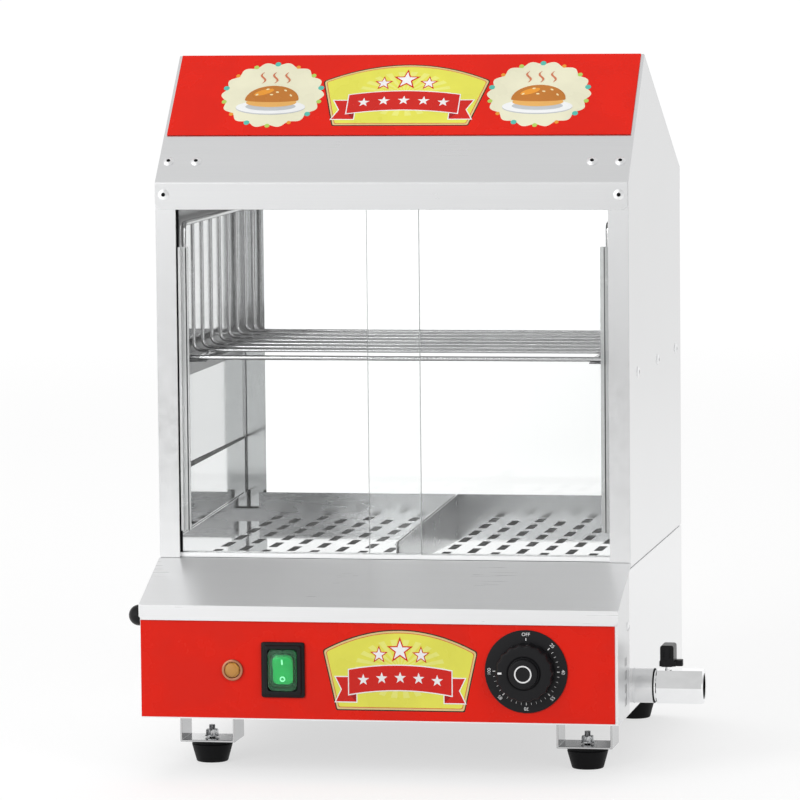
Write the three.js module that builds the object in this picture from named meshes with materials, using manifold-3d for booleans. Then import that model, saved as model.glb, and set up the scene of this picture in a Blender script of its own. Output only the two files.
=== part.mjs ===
// A countertop hot dog steamer. A sheet steel base holds the water tank and the controls. Over it stands a
// cabinet with two sliding clear doors, two perforated trays and a wire bun rack, under a sloping hood.
// Millimetres, +X to the right, the front faces -Y, +Z up, the rubber feet stand on z = 0.
import * as THREE from 'three';
import { mergeVertices } from 'three/addons/utils/BufferGeometryUtils.js';
import Module from 'manifold-3d';

const wasm = await Module();
wasm.setup();

// Driving dimensions: stock and clearances
const sheet = 1.2;
const linerSheet = 0.8;
const skin = 0.8;
const seat = 0.3;
const seam = 1;
const overrun = 4;

// Driving dimensions: the cabinet, with heights measured from the underside of the base
const cabinetWidth = 416;
const cabinetDepth = 420;
const deckHeight = 129.6;
const seamHeight = 124.6;
const consoleHeight = 85.5;
const consoleDepth = 69.5;
const lipHeight = 13;
const lipBevel = 3;
const ledgeProud = 2.5;
const ledgeSideProud = 0.7;
const hoodSetback = 78.5;
const fasciaBottomHeight = 434.8;
const fasciaTopHeight = 458.3;
const fasciaCorner = 6;
const ridgeHeight = 565.4;
const ridgeSetback = 187;
const eaveHeight = 455.4;
const rearSkirt = 21;
const ridgeHem = 14;
const postWidth = 18;
const postReturn = 5;
const rearPostWidth = 26;
const flangeWidth = 12;
const floorFlange = 4;

// Driving dimensions: the stand
const rubberHeight = 19;
const rubberTopRadius = 18.3;
const rubberBottomRadius = 13.7;
const rubberEdge = 1.4;
const bracketDrop = 33;
const bracketWidth = 49;
const bracketLength = 40;
const bracketSheet = 1.8;
const bracketTab = 12;
const footSpacing = 334;
const footFrontInset = 98;
const footRearInset = 22;
const boltRadius = 2.8;
const boltSunk = 9;
const boltProud = 11;
const nutAcross = 10;
const nutHeight = 5;
const washerRadius = 6.4;
const washerSheet = 1;

// Driving dimensions: tank, element and drain
const tankSideInset = 13.5;
const tankFrontInset = 88;
const tankBackInset = 14;
const tankLift = 9;
const tankWall = 1;
const tankCorner = 4;
const rimFrontWidth = 28;
const rimBackWidth = 16.5;
const rimSideWidth = 14.5;
const rimBarWidth = 10;
const elementRadius = 4;
const elementHalfSpan = 35;
const elementHeight = 14;
const elementReach = 250;
const elementTail = 14;
const pinRadius = 2;
const pinLength = 9;
const drainInset = 101;
const drainHeight = 20.5;
const pipeRadius = 15;
const pipeBore = 9.5;
const pipeProud = 18;
const pipeRingRadius = 16.2;
const pipeRingWidth = 1.4;
const valveAcross = 28.7;
const valveLength = 41.5;
const valveBore = 6;
const valveNeckRadius = 13.6;
const valveNeckLength = 1.4;
const valveOutletRadius = 11.5;
const valveOutletDepth = 14;
const ballRadius = 8.6;
const ballBore = 5.5;
const ballInset = 10;
const stemRadius = 3;
const stemProud = 9;
const handleLift = 3.4;
const handleHubWidth = 14.6;
const handleHubHeight = 4.4;
const handleCorner = 2;
const handleTab = 5.4;
const handleTabWidth = 8;
const handleTabRise = 1;
const bladeWidth = 11.8;
const bladeLength = 21;
const bladeHeight = 14.4;
const bladeCorner = 2.2;
const bladeGroove = 1.2;
const bladeGrooveDepth = 0.9;
const bladeGrooveInset = 3.2;

// Driving dimensions: doors and their tracks
const paneThickness = 4;
const doorOverlap = 47;
const doorSideClearance = 3.4;
const trackWall = 1.5;
const trackGroove = 5;
const trackHeight = 4;
const topTrackHeight = 11;
const topTrackLift = 3;
const paneEngage = 6;
const gripBottomHeight = 153.5;
const gripTopHeight = 402;
const gripSheet = 2.2;
const gripFoot = 8;
const gripDepth = 6;
const gripInset = 9.6;

// Driving dimensions: trays, rack and rails
const trayWall = 1;
const trayFrontGap = 6;
const trayBackInset = 12;
const traySideInset = 8;
const trayMiddleGap = 1.6;
const trayFrontHeight = 13;
const trayBackHeight = 22.5;
const slotWidth = 7;
const slotLength = 25;
const slotCorner = 2.2;
const slotPitchAcross = 21.7;
const slotPitchAlong = 54;
const slotEdge = 4;
const rackHalfWidth = 189;
const rackFrontGap = 6.4;
const rackBackInset = 14;
const rackWireCount = 7;
const rackWireRadius = 1.5;
const rackHoopRadius = 2.1;
const rackFrameRadius = 2.3;
const rackWeld = 0.4;
const rackBend = 6;
const rackSideHeight = 114;
const rackFrameInset = 12;
const railTopHeight = 301;
const railLeg = 19;
const railReach = 32;
const linerInset = 5.2;
const linerLap = 1.2;
const rearPaneDrop = 8.4;

// Driving dimensions: controls, placed across from the middle and up from the underside of the base
const lampAcross = -126.5;
const lampHeight = 43.1;
const lampRingRadius = 9.2;
const lampRingHeight = 2.4;
const lampRingEdge = 0.8;
const lampBarrelRadius = 7;
const lampBarrelLength = 18;
const lampBore = 4.6;
const lensRadius = 6.4;
const lensProud = 2.2;
const lensSunk = 1.6;
const switchAcross = -82.1;
const switchHeight = 43.9;
const bezelWidth = 38;
const bezelHeight = 48;
const bezelProud = 5;
const bezelCorner = 2.5;
const switchBodyWidth = 30;
const switchBodyHeight = 40;
const switchBodyLength = 26;
const coverWidth = 25;
const coverHeight = 35.4;
const coverCorner = 3;
const coverSheet = 1.2;
const coverProud = 1;
const coverSunk = 1.6;
const domeProud = 4.4;
const domeClearance = 0.8;
const domeCorner = 5;
const rockerWidth = 17.6;
const rockerCorner = 4;
const rockerHalfHeight = 12.2;
const rockerTip = 3;
const rockerDip = 1;
const rockerLip = 2;
const rockerBack = 5;
const rockerBackHalf = 8;
const rockerSideClearance = 0.4;
const rockerEndClearance = 1;
const rockerSunk = 2.6;
const rockerPinRadius = 1.2;
const rockerPinLength = 1.8;
const rockerRestTilt = THREE.MathUtils.degToRad(7.5);
const dialAcross = 129.2;
const dialHeight = 45.6;
const dialRadius = 35.7;
const dialSheet = 1;
const knobRadius = 25;
const knobScallop = 1.1;
const knobScallops = 18;
const knobLift = 1;
const knobSkirt = 13;
const knobEdge = 1.6;
const knobHubRadius = 12.7;
const knobHubProud = 4.4;
const shaftRadius = 3;
const shaftLength = 17;
const shaftHole = 4.4;
const thermostatRadius = 18;
const thermostatLength = 25;
const thermostatEar = 27;
const thermostatEarHeight = 12;
const bulbRadius = 3;
const bulbLength = 95;
const capillaryRadius = 1;
const bulbDrop = 9;
const bulbNutRadius = 6;
const bulbNutLength = 5;
const probeAcross = -126.5;
const probeHeight = 45;
const probeRadius = 2;
const probeLength = 30;
const probeShank = 4;
const probeHeadRadius = 7.5;
const probeHeadLength = 6;
const sideKnobInset = 60;
const sideKnobHeight = 81.3;
const sideKnobRadius = 9.3;
const sideKnobReach = 23.4;
const sideKnobNeck = 6.2;
const sideKnobShank = 3;
const sideKnobShankLength = 5;
const ventWidth = 3;
const ventHeight = 7.5;
const ventPitch = 11.5;
const ventRows = 4;
const ventColumns = 2;
const ventColumnPitch = 7;
const ventInset = 43;
const ventBottomHeight = 14;
const glandAcross = -150;
const glandHeight = 38;
const glandNutRadius = 11;
const glandNutLength = 6;
const glandCapRadius = 9;
const glandCapLength = 9;
const glandCapEdge = 3;
const glandBore = 4;
const glandShank = 7.6;
const glandShankLength = 10;

// Driving dimensions: the red sign and the red control panel
const signStart = 55.6;
const signEndGap = 0.6;
const signSideMargin = 2.8;
const panelLeftMargin = 0.5;
const panelRightMargin = 2.6;
const panelBottomMargin = 1.2;

// How finely round shapes are faceted
const roundSides = 24;
const smallSides = 12;
const footSides = 20;
const dialSides = 36;
const wireSides = 6;
const frameSides = 8;
const tubeSides = 6;
const bendSteps = 3;
const turnSteps = 9;
const knobSteps = 4 * knobScallops;
const ballSides = 16;
const ballRings = 10;
const gripSteps = 7;
const cornerSteps = 4;
const slotSteps = 1;
const hexagonSides = 6;

// Levels and planes that follow from the driving dimensions
const half = cabinetWidth / 2;
const innerHalf = half - sheet - seat;
const baseZ = rubberHeight + bracketDrop;
const deckZ = baseZ + deckHeight;
const baseTopZ = baseZ + seamHeight;
const lipBottomZ = baseZ + consoleHeight;
const lipTopZ = lipBottomZ + lipHeight;
const postFrontY = hoodSetback + sheet + seat;
const ledgeBackY = postFrontY - seat;
const rimFrontY = postFrontY + postReturn;
const trackFrontY = rimFrontY + seat;
const trackDepth = 3 * trackWall + 2 * trackGroove;
const trackBackY = trackFrontY + trackDepth;
const foodFrontY = trackBackY + trayFrontGap;
const hoodBackY = cabinetDepth + sheet + seat;
const sideBottomZ = baseTopZ + seam;
const faceY = -(skin + 2 * seat);
const hoodProfile = [
  [hoodSetback, baseZ + fasciaBottomHeight],
  [hoodSetback, baseZ + fasciaTopHeight],
  [ridgeSetback, baseZ + ridgeHeight],
  [hoodBackY, baseZ + eaveHeight],
  [hoodBackY, baseZ + eaveHeight - rearSkirt],
];

// Turns a closed three.js geometry into a solid whose faces point out.
function solid(geometry) {
  const bare = geometry.clone();
  bare.deleteAttribute('normal');
  bare.deleteAttribute('uv');
  const merged = mergeVertices(bare);
  const places = merged.attributes.position;
  const index = merged.index;
  const corners = [];
  const a = new THREE.Vector3();
  const b = new THREE.Vector3();
  const c = new THREE.Vector3();
  let volume = 0;
  for (let i = 0; i < index.count; i += 3) {
    const [u, v, w] = [index.getX(i), index.getX(i + 1), index.getX(i + 2)];
    if (u === v || v === w || w === u) continue;
    corners.push([u, v, w]);
    a.fromBufferAttribute(places, u);
    b.fromBufferAttribute(places, v);
    c.fromBufferAttribute(places, w);
    volume += a.dot(b.cross(c));
  }
  const facing = volume < 0 ? corners.map(([u, v, w]) => [u, w, v]) : corners;
  return new wasm.Manifold(new wasm.Mesh({
    numProp: 3,
    vertProperties: Float32Array.from(places.array),
    triVerts: Uint32Array.from(facing.flat()),
  }));
}

function join(...solids) {
  return solids.reduce((whole, next) => whole.add(next));
}

function cut(whole, ...tools) {
  return tools.reduce((left, tool) => left.subtract(tool), whole);
}

// Outlines are lists of points in the plane that is extruded.
function box(u0, u1, v0, v1) {
  return [[u0, v0], [u1, v0], [u1, v1], [u0, v1]];
}

function circle(u, v, radius, sides = roundSides) {
  const points = [];
  for (let i = 0; i < sides; i += 1) {
    const angle = (2 * Math.PI * i) / sides;
    points.push([u + radius * Math.cos(angle), v + radius * Math.sin(angle)]);
  }
  return points;
}

// A hexagon about the centre, from its width across two flats, with two corners on the first axis.
function hexagon(across) {
  return circle(0, 0, across / Math.sqrt(3), hexagonSides);
}

// A rectangle about a centre with round corners, each an arc of a few steps.
function roundedBox(u, v, width, height, radius, steps = cornerSteps) {
  const points = [];
  const corners = [[1, 1], [-1, 1], [-1, -1], [1, -1]];
  corners.forEach(([signU, signV], quarter) => {
    for (let i = 0; i <= steps; i += 1) {
      const angle = (Math.PI / 2) * (quarter + i / steps);
      points.push([
        u + signU * (width / 2 - radius) + radius * Math.cos(angle),
        v + signV * (height / 2 - radius) + radius * Math.sin(angle),
      ]);
    }
  });
  return points;
}

// The same open line moved sideways, to the right of its direction, with mitred corners.
function moved(line, distance) {
  const normals = line.slice(1).map(([u, v], i) => {
    const [du, dv] = [u - line[i][0], v - line[i][1]];
    const length = Math.hypot(du, dv);
    return [dv / length, -du / length];
  });
  return line.map(([u, v], i) => {
    const before = normals[Math.max(i - 1, 0)];
    const after = normals[Math.min(i, normals.length - 1)];
    const share = distance / (1 + before[0] * after[0] + before[1] * after[1]);
    return [u + share * (before[0] + after[0]), v + share * (before[1] + after[1])];
  });
}

// The outline of a folded sheet, from the line of one face.
function folded(line, thickness) {
  return [...line, ...moved(line, thickness).reverse()];
}

const axisX = new THREE.Vector3(1, 0, 0);
const axisY = new THREE.Vector3(0, 1, 0);
const axisZ = new THREE.Vector3(0, 0, 1);
const ontoX = new THREE.Matrix4().makeBasis(axisY, axisZ, axisX);
const ontoY = new THREE.Matrix4().makeBasis(axisX, axisZ, axisY.clone().negate());
const ontoZ = new THREE.Matrix4();

function extruded(outline, from, to, turn) {
  const shape = new THREE.Shape(outline.map(([u, v]) => new THREE.Vector2(u, v)));
  const geometry = new THREE.ExtrudeGeometry(shape, { depth: to - from, bevelEnabled: false });
  return solid(geometry.translate(0, 0, from).applyMatrix4(turn));
}

function pierced(outline, from, to, turn, holes) {
  const tools = holes.map((hole) => extruded(hole, from - overrun, to + overrun, turn));
  return cut(extruded(outline, from, to, turn), ...tools);
}

// An outline in Y and Z carried along X, in X and Z carried along Y, or in X and Y carried along Z.
function alongX(outline, from, to, holes = []) {
  return pierced(outline, from, to, ontoX, holes);
}

function alongY(outline, from, to, holes = []) {
  return pierced(outline, -to, -from, ontoY, holes);
}

function alongZ(outline, from, to, holes = []) {
  return pierced(outline, from, to, ontoZ, holes);
}

// A profile of radius and height turned about an axis: up is +Z, right +X, left -X, front -Y and back +Y.
function turned(profile, way, sides = roundSides) {
  const geometry = new THREE.LatheGeometry(profile.map(([r, h]) => new THREE.Vector2(r, h)), sides);
  const turns = {
    up: () => geometry.rotateX(Math.PI / 2),
    right: () => geometry.rotateZ(-Math.PI / 2),
    left: () => geometry.rotateZ(Math.PI / 2),
    front: () => geometry.rotateX(Math.PI),
    back: () => geometry,
  };
  turns[way]();
  return solid(geometry);
}

// A closed profile with a bore ends where it starts.
function ringProfile(points) {
  return [...points, points[0]];
}

function rod(radius, from, to) {
  return [[0, from], [radius, from], [radius, to], [0, to]];
}

// A route is a curve that passes straight from each of its points to the next.
class Route extends THREE.Curve {
  constructor(points) {
    super();
    this.points = points;
  }

  getPoint(t, target = new THREE.Vector3()) {
    const along = t * (this.points.length - 1);
    const i = Math.min(Math.floor(along), this.points.length - 2);
    return target.lerpVectors(this.points[i], this.points[i + 1], along - i);
  }

  getUtoTmapping(u) {
    return u;
  }
}

function wire(points, radius, sides = wireSides) {
  const section = new THREE.Shape(circle(0, 0, radius, sides).map(([u, v]) => new THREE.Vector2(u, v)));
  const route = new Route(points);
  return solid(new THREE.ExtrudeGeometry(section, { steps: points.length - 1, extrudePath: route }));
}

// The points of a quarter or half turn about a centre, between two angles, in the plane of two directions.
function bend(centre, first, second, radius, from, to, steps) {
  const points = [];
  for (let i = 0; i <= steps; i += 1) {
    const angle = from + ((to - from) * i) / steps;
    points.push(centre.clone()
      .addScaledVector(first, radius * Math.cos(angle))
      .addScaledVector(second, radius * Math.sin(angle)));
  }
  return points;
}

// A stretch of X on one side of the cabinet, from the lower to the higher value.
function sideSpan(side, near, far) {
  return side > 0 ? [near, far] : [-far, -near];
}

// Materials
const finishes = {
  steel: { color: 0xc4c6c7, roughness: 0.34, metalness: 0.95 },
  brightSteel: { color: 0xdadcdd, roughness: 0.14, metalness: 1 },
  redPrint: { color: 0xd9261c, roughness: 0.38, metalness: 0 },
  clear: { color: 0xeef4f4, roughness: 0.04, metalness: 0, opacity: 0.25, transparent: true },
  blackPlastic: { color: 0x1c1d1e, roughness: 0.42, metalness: 0 },
  rubber: { color: 0x141414, roughness: 0.7, metalness: 0 },
  greenRubber: { color: 0x2fae57, roughness: 0.25, metalness: 0, opacity: 0.6, transparent: true },
  greenPlastic: { color: 0x23964a, roughness: 0.3, metalness: 0 },
  amber: { color: 0xe79a2c, roughness: 0.2, metalness: 0 },
  zinc: { color: 0xb9bcbe, roughness: 0.3, metalness: 0.9 },
  brass: { color: 0xb89a5a, roughness: 0.35, metalness: 0.9 },
};

// The base stands the machine's origin under the middle of everything that it reaches.
const valveEndX = half + pipeProud + seat + valveNeckLength + valveLength;
const sideKnobEndX = -(half + seat + sideKnobReach);
const knobFrontY = faceY - dialSheet - knobLift - knobSkirt - knobHubProud;
const glandEndY = cabinetDepth + seat + glandNutLength + glandCapLength;
const steamer = new THREE.Group();
steamer.position.set(-(valveEndX + sideKnobEndX) / 2, -(knobFrontY + glandEndY) / 2, 0);

function place(name, body, finish, x = 0, y = 0, z = 0) {
  const { vertProperties, triVerts } = body.getMesh();
  const geometry = new THREE.BufferGeometry();
  geometry.setAttribute('position', new THREE.BufferAttribute(vertProperties, 3));
  geometry.setIndex(new THREE.BufferAttribute(triVerts, 1));
  geometry.computeVertexNormals();
  const mesh = new THREE.Mesh(geometry, new THREE.MeshStandardMaterial(finishes[finish]));
  mesh.name = name;
  mesh.position.set(x, y, z);
  steamer.add(mesh);
  return mesh;
}

// Stand: a folded bracket under each corner, a rubber foot under it, and a bolt with its nut through both
function footBracket() {
  const top = baseZ - seat;
  const bottom = rubberHeight + seat;
  const side = bracketWidth / 2;
  const line = [
    [-side + bracketTab, top], [-side, top], [-side, bottom],
    [side, bottom], [side, top], [side - bracketTab, top],
  ];
  const bracket = alongY(folded(line, -bracketSheet), -bracketLength / 2, bracketLength / 2);
  const hole = circle(0, 0, boltRadius + seat, smallSides);
  return cut(bracket, alongZ(hole, bottom - overrun, bottom + bracketSheet + overrun));
}

function footRubber() {
  const hole = boltRadius + seat;
  return turned([
    [0, 0], [rubberBottomRadius - rubberEdge, 0], [rubberBottomRadius, rubberEdge],
    [rubberTopRadius, rubberHeight - rubberEdge], [rubberTopRadius - rubberEdge, rubberHeight],
    [hole, rubberHeight], [hole, rubberHeight - boltSunk], [0, rubberHeight - boltSunk],
  ], 'up', footSides);
}

function footBolt() {
  const plateTop = rubberHeight + seat + bracketSheet;
  const washerBottom = plateTop + seat;
  const nutBottom = washerBottom + washerSheet;
  const studBottom = rubberHeight - boltSunk + seat;
  const stud = turned(rod(boltRadius, studBottom, plateTop + boltProud), 'up', smallSides);
  const washer = turned(rod(washerRadius, washerBottom, nutBottom), 'up', smallSides);
  return join(stud, washer, alongZ(hexagon(nutAcross), nutBottom, nutBottom + nutHeight));
}

const footYs = { front: footFrontInset, rear: cabinetDepth - footRearInset };
for (const [end, y] of Object.entries(footYs)) {
  for (const [hand, side] of [['left', -1], ['right', 1]]) {
    const x = (side * footSpacing) / 2;
    place(`foot_bracket_${end}_${hand}`, footBracket(), 'brightSteel', x, y);
    place(`foot_rubber_${end}_${hand}`, footRubber(), 'rubber', x, y);
    place(`foot_bolt_${end}_${hand}`, footBolt(), 'zinc', x, y);
  }
}

// Ledge: the sloping shelf over the controls, one sheet with a lip in front and a flange under the posts
const ledgeSlope = (deckZ - lipTopZ) / (ledgeBackY + ledgeProud);

function ledgeUnder(y) {
  return lipTopZ + (y + ledgeProud) * ledgeSlope - (sheet + seat) * Math.hypot(1, ledgeSlope);
}

function ledgeCover() {
  const width = half + ledgeSideProud;
  const flangeBackY = rimFrontY - seat;
  const line = [[-ledgeProud, lipBottomZ], [-ledgeProud, lipTopZ], [ledgeBackY, deckZ], [flangeBackY, deckZ]];
  const cover = alongX(folded(line, sheet), -width, width);
  const corner = box(ledgeBackY, flangeBackY + overrun, deckZ - lipHeight, deckZ + overrun);
  const bevels = [-1, 1].map((side) => alongY([
    [side * (width - lipBevel), lipBottomZ], [side * (width + overrun), lipBottomZ - overrun],
    [side * (width + overrun), lipBottomZ + lipBevel + overrun], [side * width, lipBottomZ + lipBevel],
  ], -ledgeProud - overrun, 0));
  return cut(
    cover,
    alongX(corner, innerHalf, width + overrun),
    alongX(corner, -width - overrun, -innerHalf),
    ...bevels,
  );
}

place('ledge_cover', ledgeCover(), 'steel');

// Console: the front wall with its two cheeks, folded from one sheet, cut for the controls and the vents
function controlHoles() {
  return [
    circle(lampAcross, baseZ + lampHeight, lampBarrelRadius + seat, smallSides),
    box(
      switchAcross - switchBodyWidth / 2 - seat, switchAcross + switchBodyWidth / 2 + seat,
      baseZ + switchHeight - switchBodyHeight / 2 - seat, baseZ + switchHeight + switchBodyHeight / 2 + seat,
    ),
    circle(dialAcross, baseZ + dialHeight, shaftHole, smallSides),
  ];
}

function cheekVents() {
  const vents = [];
  for (let column = 0; column < ventColumns; column += 1) {
    for (let row = 0; row < ventRows; row += 1) {
      const y = ventInset + column * ventColumnPitch;
      const z = baseZ + ventBottomHeight + row * ventPitch;
      vents.push(box(y - ventWidth / 2, y + ventWidth / 2, z - ventHeight / 2, z + ventHeight / 2));
    }
  }
  return vents;
}

function frontConsole() {
  const wall = alongY(box(-half, half, baseZ, ledgeUnder(0)), 0, sheet, controlHoles());
  const cheek = [
    [0, baseZ], [consoleDepth, baseZ], [consoleDepth, ledgeUnder(consoleDepth)], [0, ledgeUnder(0)],
  ];
  const cheeks = [-1, 1].map((side) => alongX(cheek, ...sideSpan(side, half - sheet, half), cheekVents()));
  const shank = circle(sideKnobInset, baseZ + sideKnobHeight, sideKnobShank + seat, smallSides);
  return cut(join(wall, ...cheeks), alongX(shank, -half - overrun, -half + overrun));
}

function controlPanel() {
  const outline = box(
    -half + panelLeftMargin, half - panelRightMargin,
    baseZ + panelBottomMargin, lipBottomZ - seat,
  );
  return alongY(outline, -seat - skin, -seat, controlHoles());
}

place('front_console', frontConsole(), 'steel');
place('control_panel', controlPanel(), 'redPrint');

// Base: floor with low side flanges, back wall, and side walls with a flange that carries the tank
function baseFloor() {
  const line = [[-innerHalf, baseZ + seat + floorFlange], [-innerHalf, baseZ], [innerHalf, baseZ],
    [innerHalf, baseZ + seat + floorFlange]];
  return alongY(folded(line, -sheet), sheet + seat, cabinetDepth - sheet - seat);
}

function baseBack() {
  const hole = circle(glandAcross, baseZ + glandHeight, glandShank + seat, smallSides);
  return alongY(box(-innerHalf, innerHalf, baseZ, baseTopZ), cabinetDepth - sheet, cabinetDepth, [hole]);
}

function baseSide(side) {
  const frontY = consoleDepth + seam;
  const slopeEndY = Math.min(ledgeBackY, ledgeBackY - (ledgeUnder(ledgeBackY) - baseTopZ) / ledgeSlope);
  const outline = [
    [frontY, baseZ], [cabinetDepth, baseZ], [cabinetDepth, baseTopZ], [slopeEndY, baseTopZ],
    [frontY, Math.min(baseTopZ, ledgeUnder(frontY))],
  ];
  const hole = circle(drainInset, baseZ + drainHeight, pipeRadius + seat);
  const wall = alongX(outline, ...sideSpan(side, half - sheet, half), side > 0 ? [hole] : []);
  const [x0, x1] = sideSpan(side, half - flangeWidth, half);
  const backY = cabinetDepth - sheet - seat;
  return join(wall, alongZ(box(x0, x1, rimFrontY, backY), baseTopZ - sheet, baseTopZ));
}

place('base_floor', baseFloor(), 'steel');
place('base_back', baseBack(), 'steel');
place('base_side_left', baseSide(-1), 'steel');
place('base_side_right', baseSide(1), 'steel');

// Water tank: a welded tub under a deck with two openings and edges folded down, which the trays rest on
const tankHalf = half - tankSideInset;
const tankBackY = cabinetDepth - tankBackInset;
const tankZ = baseZ + tankLift;
const rimBackY = cabinetDepth - sheet - seat;
const tubTopZ = deckZ - sheet - seat;
const elementZ = tankZ + tankWall + elementHeight;

function waterTank() {
  const depth = tankBackY - tankFrontInset;
  const middleY = tankFrontInset + depth / 2;
  const outside = roundedBox(0, middleY, 2 * tankHalf, depth, tankCorner + tankWall);
  const inside = roundedBox(0, middleY, 2 * (tankHalf - tankWall), depth - 2 * tankWall, tankCorner);
  const tub = cut(
    alongZ(outside, tankZ, tubTopZ),
    alongZ(inside, tankZ + tankWall, tubTopZ + overrun),
  );
  const frontHoles = [
    ...[-1, 1].map((side) => circle(side * elementHalfSpan, elementZ, elementRadius + seat, smallSides)),
    circle(dialAcross, baseZ + dialHeight - bulbDrop, bulbRadius + seat, smallSides),
    circle(probeAcross, baseZ + probeHeight, probeShank + seat, smallSides),
  ];
  const tools = frontHoles.map((hole) => alongY(hole, tankFrontInset - overrun, tankFrontInset + overrun));
  const outlet = circle(drainInset, baseZ + drainHeight, pipeBore, smallSides);
  tools.push(alongX(outlet, tankHalf - overrun, tankHalf + overrun));
  return cut(tub, ...tools);
}

function tankDeck() {
  const openings = [-1, 1].map((side) => {
    const [x0, x1] = sideSpan(side, rimBarWidth / 2, innerHalf - rimSideWidth);
    return box(x0, x1, rimFrontY + rimFrontWidth, rimBackY - rimBackWidth);
  });
  const plate = alongZ(box(-innerHalf, innerHalf, rimFrontY, rimBackY), deckZ - sheet, deckZ, openings);
  const foldZ = baseTopZ + seat;
  const folds = [-1, 1].map((side) => alongX(
    box(rimFrontY, rimBackY, foldZ, deckZ), ...sideSpan(side, innerHalf - sheet, innerHalf),
  ));
  const backFold = alongY(box(-innerHalf, innerHalf, foldZ, deckZ), rimBackY - sheet, rimBackY);
  return join(plate, ...folds, backFold);
}

function heatingElement() {
  const startY = tankFrontInset - elementTail;
  const endY = startY + elementReach;
  const turn = bend(
    new THREE.Vector3(0, endY, elementZ), axisX, axisY, elementHalfSpan, 0, Math.PI, turnSteps,
  );
  const tube = wire([
    new THREE.Vector3(elementHalfSpan, startY, elementZ), ...turn,
    new THREE.Vector3(-elementHalfSpan, startY, elementZ),
  ], elementRadius, tubeSides);
  const pins = [-1, 1].map((side) => alongY(
    circle(side * elementHalfSpan, elementZ, pinRadius, tubeSides), startY - pinLength, startY + seat,
  ));
  return join(tube, ...pins);
}

place('water_tank', waterTank(), 'steel');
place('tank_deck', tankDeck(), 'steel');
place('heating_element', heatingElement(), 'steel');

// Water probe: a threaded head outside the tank's front wall with its rod in the water
function waterProbe() {
  return turned([
    [0, -seat - probeHeadLength], [probeHeadRadius, -seat - probeHeadLength], [probeHeadRadius, -seat],
    [probeShank, -seat], [probeShank, tankWall + seat], [probeRadius, tankWall + seat],
    [probeRadius, probeLength], [0, probeLength],
  ], 'back', smallSides);
}

place('water_probe', waterProbe(), 'brass', probeAcross, tankFrontInset, baseZ + probeHeight);

// Upper cabinet: each side is one sheet with a gabled top, folded in at the front as a post, along both
// slopes as a flange for the hood, and at the back as a wider post
const cabinetLine = moved(hoodProfile, sheet + seat);

function sidePanel(side) {
  const [, frontTop, ridge, backTop] = cabinetLine;
  const [x0, x1] = sideSpan(side, half - sheet, half);
  const wall = alongX([
    [postFrontY, sideBottomZ], [cabinetDepth, sideBottomZ], backTop, ridge, frontTop,
  ], x0, x1);
  const frame = [[postFrontY, deckZ + seat], frontTop, ridge, backTop, [cabinetDepth, sideBottomZ]];
  const flange = alongX(folded(frame, sheet), ...sideSpan(side, half - postWidth, half));
  const rear = [backTop, [cabinetDepth, sideBottomZ]];
  const rearPost = alongX(folded(rear, sheet), ...sideSpan(side, half - rearPostWidth, half));
  const [r0, r1] = sideSpan(side, half - postWidth, half - postWidth + sheet);
  const postBack = alongX(
    box(postFrontY, postFrontY + postReturn - seat, deckZ + seat, frontTop[1] - sheet), r0, r1,
  );
  return join(wall, flange, rearPost, postBack);
}

place('side_panel_left', sidePanel(-1), 'steel');
place('side_panel_right', sidePanel(1), 'steel');

// Inner side linings: polished sheet held off the side panel by a fold at each end
const linerX = half - sheet - linerInset;
const glassBackY = cabinetDepth - sheet - seat;
const glassFrontY = glassBackY - paneThickness;
const linerBackY = glassFrontY - seat;
const topTrackZ = baseZ + fasciaBottomHeight + topTrackLift;
const linerTopZ = topTrackZ + topTrackHeight + linerLap;

function sideLiner(side) {
  const line = [
    [side * innerHalf, rimFrontY + seat], [side * linerX, rimFrontY + seat],
    [side * linerX, linerBackY], [side * innerHalf, linerBackY],
  ];
  return alongZ(folded(line, side > 0 ? linerSheet : -linerSheet), deckZ + seat, linerTopZ);
}

place('side_liner_left', sideLiner(-1), 'brightSteel');
place('side_liner_right', sideLiner(1), 'brightSteel');

// Hood: a front sheet with the fascia, the slope and a hem over the ridge, and a rear sheet with a skirt
function hoodFront() {
  const [foot, fold, ridge, eave] = hoodProfile;
  const rearLength = Math.hypot(eave[0] - ridge[0], eave[1] - ridge[1]);
  const hemShare = ridgeHem / rearLength;
  const hem = [ridge[0] + (eave[0] - ridge[0]) * hemShare, ridge[1] + (eave[1] - ridge[1]) * hemShare];
  const blank = alongX(folded([foot, fold, ridge, hem], sheet), -half, half);
  const top = ridge[1] + overrun;
  const outline = roundedBox(0, (foot[1] + top) / 2, cabinetWidth, top - foot[1], fasciaCorner);
  const squareTop = box(-half, half, fold[1], top);
  const reach = [hoodSetback - overrun, hem[0] + overrun];
  return join(alongY(outline, ...reach), alongY(squareTop, ...reach)).intersect(blank);
}

function hoodRear() {
  const [, , ridge, eave, foot] = hoodProfile;
  const rearLength = Math.hypot(eave[0] - ridge[0], eave[1] - ridge[1]);
  const startShare = (ridgeHem + seat) / rearLength;
  const start = [ridge[0] + (eave[0] - ridge[0]) * startShare, ridge[1] + (eave[1] - ridge[1]) * startShare];
  return alongX(folded([start, eave, foot], sheet), -half, half);
}

function hoodSign() {
  const [, fold, ridge] = hoodProfile;
  const slopeLength = Math.hypot(ridge[0] - fold[0], ridge[1] - fold[1]);
  const line = [signStart, slopeLength - signEndGap].map((along) => [
    fold[0] + ((ridge[0] - fold[0]) * along) / slopeLength,
    fold[1] + ((ridge[1] - fold[1]) * along) / slopeLength,
  ]);
  return alongX(folded(moved(line, -seat), -skin), -half + signSideMargin, half - signSideMargin);
}

place('hood_front', hoodFront(), 'steel');
place('hood_rear', hoodRear(), 'steel');
place('hood_sign', hoodSign(), 'redPrint');

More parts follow.
